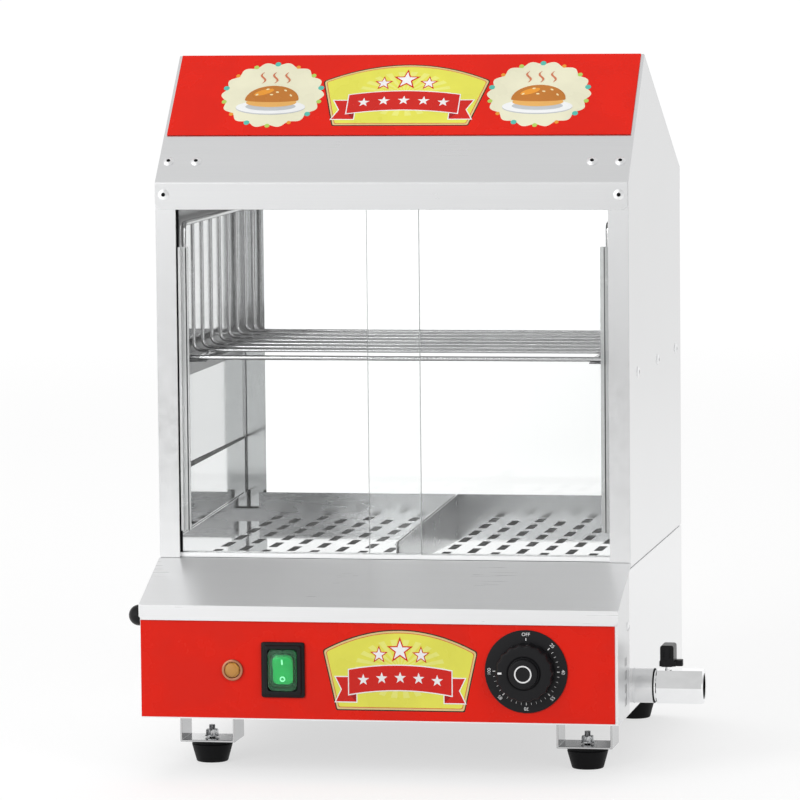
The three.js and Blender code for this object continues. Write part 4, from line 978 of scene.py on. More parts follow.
green_cover = moulded("clear green rubber", (0.30, 0.78, 0.46, 1), 0.06, 900.0, 0.001 * mm,
                      Transmission_Weight=0.94, IOR=1.3)
green_rocker = moulded("green rocker", (0.10, 0.60, 0.30, 1), 0.25, 1200.0, 0.004 * mm)
rocker_surface = green_rocker.node_tree.nodes["Principled BSDF"]
rocker_surface.inputs["Emission Color"].default_value = (0.06, 0.62, 0.24, 1)
rocker_surface.inputs["Emission Strength"].default_value = 0.16
well_points, well_faces = slab(rounded_box(np.array(well_half) + 0.6 * mm, 3 * mm), 0.1 * mm, 0.7 * mm)
piece("switch_bezel", [skin(stood(switch_bezel(), switch_place, "front")),
                       (stood(well_points, switch_place, "front"), well_faces)],
      black_plastic, "cabinet", ["switch_body"], 30)
cover_half = ((cover_high[0] - cover_low[0]) / 2, (cover_high[2] - cover_low[2]) / 2)
cover_back = bezel_proud - 1.3 * mm
cover_wall = 1.2 * mm
cover_corner = 6 * mm
tip_corner = 0.03 * mm


def about(half, less, corner, level):
    """One level of the cover: a half size made smaller all round, a corner and a height."""
    return half[0] - less, half[1] - less, corner, level


cover_levels = [
    about(cover_half, 0.3 * mm, cover_corner, cover_back),
    about(cover_half, 0, cover_corner, cover_back + 0.3 * mm),
    about(cover_half, 0, cover_corner, cover_rim_proud - 0.5 * mm),
    about(cover_half, 0.5 * mm, cover_corner, cover_rim_proud),
    about(dome_half, -1.2 * mm, dome_corner, cover_rim_proud - 0.1 * mm),
    about(dome_half, -0.2 * mm, dome_corner, cover_rim_proud + 0.5 * mm),
    about(dome_half, 0.3 * mm, dome_corner, dome_proud - 1.2 * mm),
    about(dome_half, 1.5 * mm, dome_corner - 1 * mm, dome_proud - 0.25 * mm),
    about(dome_half, 3.5 * mm, dome_corner - 2 * mm, dome_proud),
    (0.1 * mm, 0.1 * mm, tip_corner, dome_proud),
]
inner_levels = [
    (0.1 * mm, 0.1 * mm, tip_corner, dome_proud - cover_wall),
    about(dome_half, 3.5 * mm, dome_corner - 2 * mm, dome_proud - cover_wall),
    about(dome_half, cover_wall, dome_corner - cover_wall, dome_proud - 2.2 * mm),
    about(dome_half, cover_wall, dome_corner - cover_wall, cover_back),
]
cover_shell = stacked(cover_levels + inner_levels + cover_levels[:1])
piece("switch_dome", [skin(stood(cover_shell, switch_place, "front"))], green_cover, "cabinet",
      ["switch_cover"], 40)

rocker_half = (8.8 * mm, 12.2 * mm)
rocker_tip = 3 * mm
rocker_dip = 1 * mm
rocker_back = 5 * mm
rocker_tilt = np.radians(7.5)


def rocker_rows():
    """The rocker's face is a shallow V that rises to both ends, with round corners and eased edges, and it
    leans back at the bottom as it stands when pressed there."""
    shares = np.array((0.0, 0.4, 0.8, 0.96, 1.0, 1.0, 1.0, 0.7, 0.0))
    drops = np.array((0.0, 0.0, 0.0, 0.15, 0.7, 1.6, 5.0, 7.0, 7.0)) * mm
    flat = rounded_box(rocker_half, 5.5 * mm, 14)
    flat = np.concatenate([flat + (np.roll(flat, -1, axis=0) - flat) * share for share in (0, 0.5)], axis=1)
    flat = flat.reshape(-1, 2)
    grid = flat[None] * shares[:, None, None]
    face = rocker_dip + (rocker_tip - rocker_dip) * np.abs(grid[:, :, 1:]) / rocker_half[1]
    level = np.maximum(face - drops[:, None, None], -rocker_back)
    return np.concatenate((grid, level), axis=2)


def tilted(points, angle):
    """Turns points about the across axis, so that their upper end leans out."""
    across, up, out = points[..., 0], points[..., 1], points[..., 2]
    cosine, sine = np.cos(angle), np.sin(angle)
    return np.stack((across, up * cosine - out * sine, up * sine + out * cosine), axis=-1)


pivot_out = bezel_proud - 2.6 * mm
rocker_place = (switch_place[0], switch_place[1] - pivot_out, switch_place[2])
rocker_shell = tilted(rocker_rows(), rocker_tilt)
piece("rocker_cap", [skin(stood(rocker_shell, rocker_place, "front"))], green_rocker, "switch_rocker",
      ["rocker"], 35)
mark_height = 7.6 * mm
mark_half = 2.4 * mm
bar_corners = np.array([(-1, -1), (1, -1), (1, 1), (-1, 1)]) * (0.7 * mm, mark_half)
bar_mark = slab(bar_corners, -print_lift, print_lift)
ring_mark = skin(flat_ring(1.3 * mm, mark_half, -print_lift, print_lift))
marks = []
for (points, faces), height in ((bar_mark, mark_height), (ring_mark, -mark_height)):
    slope = np.sign(height) * np.arctan((rocker_tip - rocker_dip) / rocker_half[1])
    points = tilted(points, slope) + (0, height, rocker_dip + abs(height) * np.tan(abs(slope)))
    marks.append((stood(tilted(points, rocker_tilt), rocker_place, "front"), faces))
# The marks glow far brighter than the lighted rocker under them: painted glow that keeps them white under the
# green cover.
glow_painted_mark, _, glow_painted_surface = surfaced("marking with painted glow", Base_Color=(0.8, 0.8, 0.8, 1), Roughness=0.4)
glow_painted_surface.inputs["Emission Color"].default_value = (0.95, 1.0, 0.95, 1)
glow_painted_surface.inputs["Emission Strength"].default_value = 1.3
piece("rocker_marks", marks, glow_painted_mark, "switch_rocker")

# Lamp. A copper coloured turned ring, pushed into the panel from the front, holds a domed amber lens with a
# fine pattern of raised dots. The dots are painted brighter and the amber between them darker: painted
# highlights and painted shade.
lamp_low, lamp_high, lamp_middle = box("lamp_ring")
lens_low, lens_high, _ = box("lamp_lens")
lamp_place = (lamp_middle[0], plate_high[1], lamp_middle[2])
lamp_ring_radius = (lamp_high[0] - lamp_low[0]) / 2
lamp_ring_height = plate_high[1] - lamp_low[1]
lens_radius = (lens_high[0] - lens_low[0]) / 2
lens_proud = plate_high[1] - lens_low[1]
dot_pitch = 2.6 * mm
dot_height = 0.16 * mm
amber = moulded("amber lens", (0.60, 0.25, 0.03, 1), 0.16, 900.0, 0.004 * mm, IOR=1.49)
amber_tree = amber.node_tree
amber_surface = amber_tree.nodes["Principled BSDF"]
amber_place = node(amber_tree, "SeparateXYZ", Vector=node(amber_tree, "TexCoord").outputs["Object"]).outputs
amber_waves = []
for axis, middle in (("X", lamp_middle[0]), ("Z", lamp_middle[2])):
    aside = sums(amber_tree, "SUBTRACT", amber_place[axis], middle)
    angle = sums(amber_tree, "MULTIPLY", aside, 2 * np.pi / dot_pitch)
    amber_waves.append(sums(amber_tree, "COSINE", angle))
# Painted highlights on the raised dots, and painted shade between them.
amber_dot_highlights = ramp(amber_tree, sums(amber_tree, "MULTIPLY", *amber_waves), -0.1, 0.5, 0.0, 1.0)
amber_tone = mixed(amber_tree, amber_dot_highlights, (0.20, 0.05, 0.004, 1), (0.92, 0.52, 0.10, 1))
plug(amber_tree, amber_surface.inputs["Base Color"], amber_tone)
plug(amber_tree, amber_surface.inputs["Emission Color"], amber_tone)
amber_surface.inputs["Emission Strength"].default_value = 0.12
ring_steel = steel_finish("lamp ring", (0.42, 0.19, 0.11, 1), 0.16, (300, 300, 300), 0.002 * mm)


def lens_rows():
    """The lens: a flat-topped dome, with a dot raised on each crossing of two cosine waves."""
    share = np.concatenate((np.linspace(0, 0.9, 40), np.linspace(0.92, 1.0, 6)))
    crown = (lens_proud - lamp_ring_height) * np.sqrt(np.clip(1 - share ** 2.6, 0, 1))
    profile = np.stack((share * lens_radius, lamp_ring_height + crown), axis=1)
    back = np.array([(lens_radius, lamp_ring_height - 1.2 * mm), (0, lamp_ring_height - 1.2 * mm)])
    rows = turned(np.concatenate((profile, back)), 120)
    wave = np.cos(2 * np.pi * rows[..., 0] / dot_pitch) * np.cos(2 * np.pi * rows[..., 1] / dot_pitch)
    inside = np.clip((0.86 - np.append(share, (1, 1))) / 0.1, 0, 1)[:, None]
    rows[..., 2] += dot_height * np.clip(wave, 0, 1) * inside
    return rows


ring_inside = lens_radius + 0.25 * mm
ring_profile = rounded([
    (ring_inside, -0.5 * mm), (lamp_ring_radius, -0.5 * mm), (lamp_ring_radius, lamp_ring_height - 0.3 * mm),
    (lamp_ring_radius - 0.9 * mm, lamp_ring_height), (lens_radius + 0.8 * mm, lamp_ring_height),
    (ring_inside, lamp_ring_height - 0.5 * mm), (ring_inside, -0.5 * mm),
], 0.35 * mm)
piece("lamp_bezel", [skin(stood(turned(ring_profile), lamp_place, "front"))], ring_steel, "cabinet",
      ["lamp_ring"])
piece("lamp_dome", [skin(stood(lens_rows(), lamp_place, "front"))], amber, "cabinet",
      ["lamp_lens"], 60)

# Drain. A satin pipe with a dark seal comes out of the tank through the right side, and carries a chrome
# hexagonal ball valve with an open outlet and a short black handle with two grooves.
satin = steel_finish("satin pipe", (0.74, 0.745, 0.75, 1), 0.24, (900, 60, 60), 0.01 * mm)
chrome = steel_finish("chrome plate", (0.93, 0.935, 0.94, 1), 0.06, (90, 90, 90), 0.002 * mm)
pipe_low, pipe_high, pipe_middle = box("drain_pipe")
valve_low, valve_high, _ = box("valve_body")
pipe_radius = 15 * mm
pipe_bore = 9.5 * mm
valve_across = 28.7 * mm
outlet_radius = 11.5 * mm
outlet_depth = 13 * mm
valve_neck = 1.4 * mm
neck_reach = 13.6 * mm
valve_chamfer = 0.4 * mm
pipe_axis = (0, pipe_middle[1], pipe_middle[2])
valve_bore = 6 * mm


def pipe_rows():
    """The pipe with its bore."""
    start, end = pipe_low[0], pipe_high[0]
    return turned(rounded([
        (pipe_bore, start), (pipe_radius, start), (pipe_radius, end), (pipe_bore, end), (pipe_bore, start),
    ], 0.5 * mm))


def valve_rows():
    """The valve: a hexagonal bar with its corners turned off at both ends, a round neck, an open outlet with
    a step in it, and a narrow way through."""
    start, end = valve_low[0], valve_high[0]
    corner = valve_across / np.sqrt(3)
    bar = start + valve_neck
    levels = [
        (valve_bore, start + 0.2 * mm), (valve_bore + 4 * mm, start), (neck_reach - 0.2 * mm, start),
        (neck_reach, start + 0.2 * mm), (neck_reach, bar), (valve_across / 2 - 0.2 * mm, bar),
        (corner, bar + 2.4 * valve_chamfer), (corner, end - 2.4 * valve_chamfer),
        (valve_across / 2 - 0.3 * mm, end - 0.1 * mm),
        (valve_across / 2 - 0.6 * mm, end), (outlet_radius + 0.7 * mm, end), (outlet_radius, end - 0.7 * mm),
        (outlet_radius, end - outlet_depth), (valve_bore, end - outlet_depth), (valve_bore, start + 0.2 * mm),
    ]
    return hexagonal(levels, valve_across, 192)


def turned_six(rows):
    """Turns a hexagonal piece by a twelfth, so that a corner faces the front."""
    angle = np.pi / 6
    turn = np.array(((np.cos(angle), -np.sin(angle), 0), (np.sin(angle), np.cos(angle), 0), (0, 0, 1)))
    return rows @ turn


seal_inside, seal_outside = pipe_radius - 2 * mm, pipe_radius + 0.15 * mm
seal_start, seal_end = pipe_high[0] - 0.9 * mm, pipe_high[0] + 0.25 * mm
joint_profile = rounded([
    (seal_inside, seal_start), (seal_outside, seal_start), (seal_outside, seal_end), (seal_inside, seal_end),
    (seal_inside, seal_start),
], 0.3 * mm)
piece("pipe_tube", [skin(stood(pipe_rows(), pipe_axis, "right"))], satin, "cabinet",
      ["drain_pipe"])
piece("pipe_seal", [skin(stood(turned(joint_profile), pipe_axis, "right"))], black_rubber, "cabinet")
piece("hexagonal_valve", [skin(stood(turned_six(valve_rows()), pipe_axis, "right"))], chrome, "cabinet",
      ["valve_body"], 6)

eased("valve_ball", chrome, 0.1 * mm)
eased("valve_handle", black_plastic, 0.7 * mm)

# Cabinet sides. Each is one sheet with a gabled top, folded in as a post at the front and the back. Inside
# it a polished lining keeps the steam off the outer sheet.
sheet_colour = (0.80, 0.805, 0.81, 1)
# The rear post's inner face takes this darker colour: painted shade.
rear_post_shade_colour = (0.72, 0.725, 0.73, 1)
sheet_roughness = 0.13
front_post_rougher = 0.11
lining_steel = steel_finish("mirror finished steel", (0.72, 0.725, 0.73, 1), 0.07, (60, 5, 60), 0.001 * mm)
side_steel = steel_finish("side sheet", sheet_colour, sheet_roughness, (90, 6, 90), 0.0015 * mm)
# The inner face of the rear post is painted a little darker, as painted shade, and the front post is a little
# rougher.
side_tree = side_steel.node_tree
side_grain = side_tree.nodes["Group"]
side_place = node(side_tree, "SeparateXYZ", Vector=node(side_tree, "TexCoord").outputs["Object"]).outputs
side_front, side_back = (box("side_panel_left")[0][1], box("side_panel_left")[1][1])
from_middle = sums(side_tree, "ABSOLUTE", sums(side_tree, "SUBTRACT", side_place["X"], console_middle[0]))
outer_face = box("side_panel_right")[1][0] - console_middle[0]
inside = sums(side_tree, "LESS_THAN", from_middle, outer_face - 0.5 * mm)
rear_post_shade = ramp(side_tree, side_place["Y"], side_back - 8 * mm, side_back - 6 * mm, 0.0, 1.0)
rear_post_shade = sums(side_tree, "MULTIPLY", rear_post_shade, inside)
front_post = ramp(side_tree, side_place["Y"], side_front + 1.4 * mm, side_front + 3 * mm, 1.0, 0.0)
rougher = sums(side_tree, "MULTIPLY", front_post, front_post_rougher)
plug(side_tree, side_grain.inputs["Roughness"], sums(side_tree, "ADD", rougher, sheet_roughness))
plug(side_tree, side_grain.inputs["Colour"], mixed(side_tree, rear_post_shade, sheet_colour, rear_post_shade_colour))
for word in ("side_panel_left", "side_panel_right"):
    eased(word, side_steel)
for word in ("side_liner_left", "side_liner_right"):
    eased(word, lining_steel)
lining_sheet = 0.5 * mm
lining_air = 0.3 * mm
lower_lining_top = 254.4 * mm
# A dark strip over the lower lining's top edge is painted shadow, taller at the front than at the back.
lining_shadow_front = 5.4 * mm
lining_shadow_back = 2.0 * mm
# A dark sheet on each lining from here up, reaching further down at the front, is painted shade under the
# hood.
lining_shade_band = (469 * mm, 501 * mm)
lining_shade_foot = (60 * mm, 438 * mm)
strip_width = 1.4 * mm
bright_lining = steel_finish("lower lining", (0.88, 0.885, 0.89, 1), 0.06, (60, 5, 60), 0.001 * mm)
lining_shadow_paint = moulded("painted lining shadow", (0.07, 0.07, 0.07, 1), 0.5)
strip_steel = steel_finish("corner strip", (0.52, 0.525, 0.53, 1), 0.25, (60, 60, 6), 0.002 * mm)


def upright(outline, x0, x1):
    """A plate across the machine from x0 to x1, with its outline drawn front to back and up."""
    points, faces = slab(np.asarray(outline), x0, x1)
    return points[:, [2, 0, 1]], faces


def cuboid(low, high):
    """A plain block between two corners."""
    outline = [(low[1], low[2]), (high[1], low[2]), (high[1], high[2]), (low[1], high[2])]
    return upright(outline, low[0], high[0])


for side, way in (("left", 1), ("right", -1)):
    low, high, _ = box("side_liner_" + side)
    face = high[0] if side == "left" else low[0]
    y0, y1, z0 = low[1] + 4 * mm, high[1] - 4 * mm, low[2] + 0.3 * mm
    near, far = face + way * lining_air, face + way * (lining_air + lining_sheet)
    top, front_top = lower_lining_top, lower_lining_top - 4 * mm
    z1, z2 = lining_shade_band
    depth, foot = lining_shade_foot
    lower = [(y0, z0), (y1, z0), (y1, top), (y0, front_top)]
    # The strip over the lower lining is painted shadow.
    lining_shadow_outline = [(y0, front_top), (y1, top), (y1, top + lining_shadow_back), (y0, front_top + lining_shadow_front)]
    # The dark band above the rack is painted shade.
    band = [(y0, foot), (y0 + depth, foot), (y0 + depth, z1), (y1, z1), (y1, z2), (y0, z2)]
    for word, outline, finish in (
        ("lower_lining_", lower, bright_lining), ("lining_painted_shadow_", lining_shadow_outline, lining_shadow_paint),
        ("lining_painted_shade_", band, dull_steel),
    ):
        sheet = upright(outline, min(near, far), max(near, far))
        piece(word + side, [sheet], finish, "cabinet")
    ends = sorted((face - way * 1 * mm, face + way * strip_width))
    strip = cuboid((ends[0], high[1] - 0.2 * mm, low[2]), (ends[1], high[1] + 1.4 * mm, lining_shade_band[0]))
    piece("corner_strip_" + side, [strip], strip_steel, "cabinet")

# Door gaps. A black strip on the inner edge of each front post is painted shadow in the gap beside the
# door. It runs from the bottom track to the top one.
door_shadow_width = 1.75 * mm
post_width = 17.6 * mm
for side, way in (("left", 1), ("right", -1)):
    low, high, _ = box("side_panel_" + side)
    door_low = box("door_" + side)[0]
    edge = (low[0] if side == "left" else high[0]) + way * post_width
    ends = sorted((edge - way * 0.5 * mm, edge + way * door_shadow_width))
    # Painted shadow in the gap beside the door.
    door_shadow = cuboid((ends[0], door_low[1] - 1.6 * mm, box("door_track_bottom")[0][2] + 4.2 * mm),
                  (ends[1], door_low[1] - 0.2 * mm, box("door_track_top")[0][2] - 0.2 * mm))
    piece("door_painted_shadow_" + side, [door_shadow], black_rubber, "cabinet")

# Hood. Two sheets meet at the ridge: the front one has the fascia and a sloping face with the red sign, and
# the rear one a skirt over the back glass. The sign has the same emblem and a round picture on each side.
hood_steel = steel_finish("hood steel", steel_colour, 0.30, (7, 640, 640), 0.005 * mm)
eased("hood_front", hood_steel, 0.6 * mm)
eased("hood_rear", hood_steel, 0.6 * mm)
eased("hood_sign", red_print, 0.25 * mm)
sign_skin = 0.8 * mm
sign_low, sign_high, _ = box("hood_sign")
sign_run = sign_high[1] - sign_low[1]
sign_rise = sign_high[2] - sign_low[2]
sign_slope = np.arctan2(sign_rise, sign_run)
for _ in range(5):
    rise = sign_rise - sign_skin * np.cos(sign_slope)
    run = sign_run - sign_skin * np.sin(sign_slope)
    sign_slope = np.arctan2(rise, run)
sign_up = np.array((0, np.cos(sign_slope), np.sin(sign_slope)))
sign_out = np.array((0, -np.sin(sign_slope), np.cos(sign_slope)))
sign_foot = np.array((console_middle[0], sign_low[1], sign_low[2] + sign_skin * np.cos(sign_slope)))
sign_start = 55.6 * mm
crest_size = (74.5 * mm, 60.5 * mm, 66 * mm, 120 * mm, 139.5 * mm, 1.0 * mm)
picture_across = 118.5 * mm
picture_shift = 1.5 * mm
picture_up = 103.5 * mm
rosette_half = (44 * mm, 37.5 * mm)
rosette_waves = 14
rosette_wave = 0.045
dots_half = (43.5 * mm, 37 * mm)
wisp_height = 13 * mm
seeds = ((-14, 0, 0.6), (-5, 6.5, 0.2), (4, 3, -0.2), (11, 5, -0.5), (16.5, -1, -0.9), (-1, 0, 0))


def on_sign(points):
    """From across and up on the sign's face to the machine's own directions. Up starts at the fold over the
    fascia, as the sign's own foot does 55.6 mm further."""
    axes = np.array(((1, 0, 0), sign_up, sign_out))
    return sign_foot + (points - np.array((0, sign_start, 0))) @ axes


emblem("sign_emblem_", on_sign, crest_size)
picture_inks = {
    "splash": printed("pale cream ink", (0.80, 0.78, 0.58, 1)),
    "teal": printed("teal ink", (0.10, 0.50, 0.42, 1)),
    "green": printed("leaf green ink", (0.45, 0.62, 0.12, 1)),
    "orange": printed("orange ink", (0.80, 0.32, 0.04, 1)),
    "plate": printed("plate white ink", (0.85, 0.86, 0.86, 1)),
    "shade": printed("plate grey ink", (0.52, 0.54, 0.56, 1)),
    "crust": printed("bun brown ink", (0.52, 0.19, 0.035, 1)),
    "crumb": printed("bun light ink", (0.78, 0.42, 0.12, 1)),
    "seed": printed("seed ink", (0.86, 0.74, 0.42, 1)),
    "steam": printed("steam ink", (0.62, 0.20, 0.10, 1)),
}


def oval(middle, across, up, turn=0.0, waves=0, wave=0.0, count=72):
    """An ellipse whose radius swells and shrinks by a cosine a number of times round."""
    angle = np.linspace(0, 2 * np.pi, count, endpoint=False)
    swell = 1 + wave * np.cos(waves * angle)
    flat = np.stack((across * swell * np.cos(angle), up * swell * np.sin(angle)), axis=1)
    tilt = np.array(((np.cos(turn), np.sin(turn)), (-np.sin(turn), np.cos(turn))))
    return np.asarray(middle) + flat @ tilt


def half_round(middle, across, up, flat_share, count=40):
    """A loaf seen from the side: a round top over a shallower round foot."""
    angle = np.linspace(0, 2 * np.pi, count, endpoint=False)
    height = np.where(np.sin(angle) > 0, up, up * flat_share)
    return np.asarray(middle) + np.stack((across * np.cos(angle), height * np.sin(angle)), axis=1)


def curl(middle, height, swing, width, count=17):
    """A wisp of steam: a band of changing width along a sine wave."""
    t = np.linspace(0, 1, count)
    x = swing * np.sin(2 * np.pi * t)
    y = height * (t - 0.5)
    half = width * np.sin(np.pi * np.clip(t, 0.04, 0.96)) / 2
    left = np.stack((x - half, y), axis=1)[::-1]
    right = np.stack((x + half, y), axis=1)
    return np.asarray(middle) + np.concatenate((right, left))


def picture(prefix, side):
    """A round picture: a pale rosette with dots of colour round it, and a plain bun on a plate under three
    wisps of steam."""
    middle = np.array((side * picture_across + picture_shift, picture_up))
    turn = (np.arange(rosette_waves) * 2 + 1) * np.pi / rosette_waves
    spots = [middle + dots_half * np.array((np.cos(a), np.sin(a))) for a in turn]
    laid(prefix, [
        ("rosette", "splash", [oval(middle, *rosette_half, 0, rosette_waves, rosette_wave, 224)]),
        ("teal_dots", "teal", [oval(spot, 2.6 * mm, 2.6 * mm) for spot in spots[0::3]]),
        ("green_dots", "green", [oval(spot, 2.2 * mm, 2.2 * mm) for spot in spots[1::3]]),
        ("orange_dots", "orange", [oval(spot, 1.9 * mm, 1.9 * mm) for spot in spots[2::3]]),
        ("plate_shade", "shade", [oval(middle + (0, -15.5 * mm), 31 * mm, 8.4 * mm)]),
        ("plate", "plate", [oval(middle + (0, -14.7 * mm), 31 * mm, 8.0 * mm)]),
        ("plate_well", "shade", [oval(middle + (0, -14.2 * mm), 22.5 * mm, 4.9 * mm)]),
        ("bun_foot", "crumb", [half_round(middle + (0, -9.4 * mm), 22.5 * mm, 6 * mm, 0.9)]),
        ("bun_top", "crust", [half_round(middle + (0, -6.2 * mm), 24 * mm, 17 * mm, 0.16)]),
        ("bun_shine", "orange", [oval(middle + (-8 * mm, 3.0 * mm), 9 * mm, 3.0 * mm, 0.35)]),
        ("seeds", "seed", [
            oval(middle + (x * mm, y * mm), 1.5 * mm, 0.8 * mm, tilt) for x, y, tilt in seeds
        ]),
        ("steam", "steam", [
            curl(middle + (x * mm, 20.5 * mm), wisp_height, 2.0 * mm, 2.2 * mm) for x in (-11, 0, 11)
        ]),
    ], picture_inks, on_sign)


picture("left_picture_", -1)
picture("right_picture_", 1)

# Doors and glass. Two clear panes with polished edges slide past each other in grooved steel tracks, each
# with a clear angle as its grip, and a fixed pane closes the back.
clear, clear_tree, clear_surface = surfaced("clear pane", Base_Color=(0.985, 0.992, 0.99, 1), IOR=1.45,
                                            Transmission_Weight=1.0)
clear_surface.inputs["Specular IOR Level"].default_value = 0.25
wipe_marks = node(clear_tree, "TexNoise", Scale=4.0, Detail=4.0,
                  Vector=node(clear_tree, "TexCoord").outputs["Object"]).outputs[0]
plug(clear_tree, clear_surface.inputs["Roughness"], ramp(clear_tree, wipe_marks, 0.45, 0.75, 0.0, 0.03))
for word in ("rear_glass", "door_left", "door_right"):
    eased(word, clear, 0.3 * mm)
milky = moulded("milky clear plastic", (0.90, 0.91, 0.91, 1), 0.18, Transmission_Weight=0.45, IOR=1.49)
dark_glue = moulded("dark glue line", (0.03, 0.03, 0.03, 1), 0.4)
for side, start in (("left", 6.4 * mm), ("right", 3.2 * mm)):
    eased("door_grip_" + side, milky, 0.3 * mm)
    low, high, _ = box("door_grip_" + side)
    line = cuboid((low[0] + start, low[1] - 0.1 * mm, low[2] + 0.3 * mm),
                  (low[0] + start + 1.1 * mm, low[1] + 0.4 * mm, high[2] - 0.3 * mm))
    piece("grip_line_" + side, [line], dark_glue, side + "_door")
cut_edge = moulded("cut edge of a pane", (0.50, 0.52, 0.52, 1), 0.3)
edge_lift = 0.08 * mm
for side in ("left", "right"):
    low, high, _ = box("door_" + side)
    strips = [cuboid((x - edge_lift, low[1], low[2]), (x + edge_lift, high[1], high[2]))
              for x in (low[0], high[0])]
    piece("pane_edges_" + side, strips, cut_edge, side + "_door")
track_steel = steel_finish("pale track steel", (0.93, 0.935, 0.94, 1), 0.42, (9, 760, 760), 0.002 * mm)
for word in ("door_track_bottom", "door_track_top"):
    eased(word, track_steel, 0.25 * mm)

# Trays and rails. Two perforated steel trays with low walls lie on the tank's deck, with a bright sill behind
# them. An angle screwed to each lining carries the rack.
tray_steel = steel_finish("tray steel", (0.82, 0.825, 0.83, 1), 0.05, (6, 60, 60), 0.001 * mm)
# The rails are painted nearly black: painted shade under the rack and the hood.
rail_shaded_steel = steel_finish("rail steel, painted shade", (0.17, 0.17, 0.175, 1), 0.30, (700, 9, 700), 0.004 * mm)
tray_wall = 1 * mm
tray_front_height = 13 * mm
corner_notch = (13 * mm, 7 * mm)
slot_size = (7.6 * mm, 36 * mm)
slot_corner = 1.4 * mm
slot_across = 21.7 * mm
slot_along = 54 * mm
slot_rows = 6
slot_margins = (1.5 * mm, 5 * mm)
slot_columns = {"left": 8, "right": 7}
first_slots = {"left": 33.7 * mm, "right": 37.5 * mm}
first_row = 15 * mm


def filled(outlines):
    """A flat face within the first of several closed outlines, with the others as holes in it."""
    curve = bpy.data.curves.new("plate", "CURVE")
    curve.dimensions = "2D"
    curve.fill_mode = "BOTH"
    for outline in outlines:
        line = curve.splines.new("POLY")
        line.points.add(len(outline) - 1)
        line.points.foreach_set("co", np.pad(outline / mm, ((0, 0), (0, 2))).ravel())
        line.use_cyclic_u = True
    points, faces = flat_mesh(curve)
    return points * mm, faces


def tray_shells(side):
    """The perforated floor, with the slots of every second column half a step on, the back wall with a notch
    in its outer corner, and the two cheeks that fall towards the front."""
    low, high, _ = box("tray_" + side)
    outline = np.array([(low[0], low[1]), (high[0], low[1]), (high[0], high[1]), (low[0], high[1])])
    slots = []
    for column in range(slot_columns[side]):
        x = low[0] + first_slots[side] + column * slot_across
        later = column % 2
        for row in range(-later, slot_rows - later):
            y = low[1] + first_row + (row + 0.5 * later) * slot_along
            start = max(y - slot_size[1] / 2, low[1] + slot_margins[0])
            end = min(y + slot_size[1] / 2, high[1] - slot_margins[1])
            slot = rounded_box((slot_size[0] / 2, (end - start) / 2), slot_corner, 4)
            slots.append(slot + (x, (start + end) / 2))
    points, faces = filled([outline] + slots)
    floor = thickened(points, faces, low[2], low[2] + tray_wall)
    left, right, foot, top = low[0], high[0], low[2], high[2]
    notch, notch_foot = corner_notch[0], foot + corner_notch[1]
    if side == "left":
        wall = [(left, foot), (right, foot), (right, top), (left + notch, top), (left + notch, notch_foot),
                (left, notch_foot)]
    else:
        wall = [(left, foot), (right, foot), (right, notch_foot), (right - notch, notch_foot),
                (right - notch, top), (left, top)]
    points, faces = slab(np.array(wall), -high[1], tray_wall - high[1])
    back = points[:, [0, 2, 1]] * (1, -1, 1), faces
    cheek = [(low[1], foot), (high[1], foot), (high[1], top), (low[1], foot + tray_front_height)]
    cheeks = [upright(cheek, left, left + tray_wall), upright(cheek, right - tray_wall, right)]
    outer, inner = cheeks if side == "left" else cheeks[::-1]
    return [floor, outer], [back, inner]


# The walls are the tray's own steel painted much darker: painted shade.
tray_wall_shaded_steel = steel_finish("tray wall steel, painted shade", (0.42, 0.425, 0.43, 1), 0.25, (6, 60, 60), 0.001 * mm)
for side in ("left", "right"):
    tray_floor, tray_walls = tray_shells(side)
    piece("perforated_tray_" + side, tray_floor, tray_steel, side + "_tray",
          ["tray_" + side])
    piece("tray_walls_" + side, tray_walls, tray_wall_shaded_steel, side + "_tray")
lining_left, lining_right = box("side_liner_left")[1], box("side_liner_right")[0]
tray_low, tray_high, _ = box("tray_left")
sill_low = (lining_left[0] + 0.5 * mm, tray_high[1] + 0.5 * mm, tray_low[2] + 0.2 * mm)
sill_high = (lining_right[0] - 0.5 * mm, lining_left[1] - 0.4 * mm, sill_low[2] + 5 * mm)
piece("rear_sill", [cuboid(sill_low, sill_high)], tray_steel, "cabinet")
for word in ("rack_rail_left", "rack_rail_right"):
    eased(word, rail_shaded_steel, 0.3 * mm)

# Bun rack. Bright wires are bent up at both sides: a hoop in front and one behind, finer ones between them,
# two bars under them, and over their ends a frame wire along the top of each side. All are spot welded.
wire_bright = steel_finish("bright wire", (0.50, 0.50, 0.505, 1), 0.16, (70, 70, 70), 0.003 * mm)
rack_low, rack_high, _ = box("bun_rack")
wire_radius = 1.5 * mm
hoop_radius = 2.1 * mm
frame_radius = 2.3 * mm
wire_count = 7
bend_radius = 6 * mm
bar_inset = 12 * mm
weld_depth = 0.4 * mm
rack_slack = 2.6 * mm


def arc(middle, first, second, radius, start, end, steps=10):
    """Points round a middle, from one angle to another, in the plane of two directions."""
    angle = np.linspace(start, end, steps + 1)[:, None]
    return np.asarray(middle) + radius * (np.cos(angle) * np.array(first) + np.sin(angle) * np.array(second))


def tube(path, radius, flat_way, sides=20):
    """A round wire along a path that lies in one plane: at each point a circle stands square to the path,
    on the plane's own direction and on the one across it. The ends close on the path."""
    path = np.asarray(path, float)
    ahead = np.gradient(path, axis=0)
    ahead /= np.linalg.norm(ahead, axis=1)[:, None]
    flat_way = np.asarray(flat_way, float)
    across = np.cross(ahead, flat_way)
    angle = np.linspace(0, 2 * np.pi, sides, endpoint=False)
    ring = np.cos(angle)[None, :, None] * across[:, None] + np.sin(angle)[None, :, None] * flat_way
    rows = path[:, None] + radius * ring
    ends = [np.repeat(path[i:i + 1, None], sides, axis=1) for i in (0, -1)]
    return skin(np.concatenate((ends[0], rows, ends[1])))


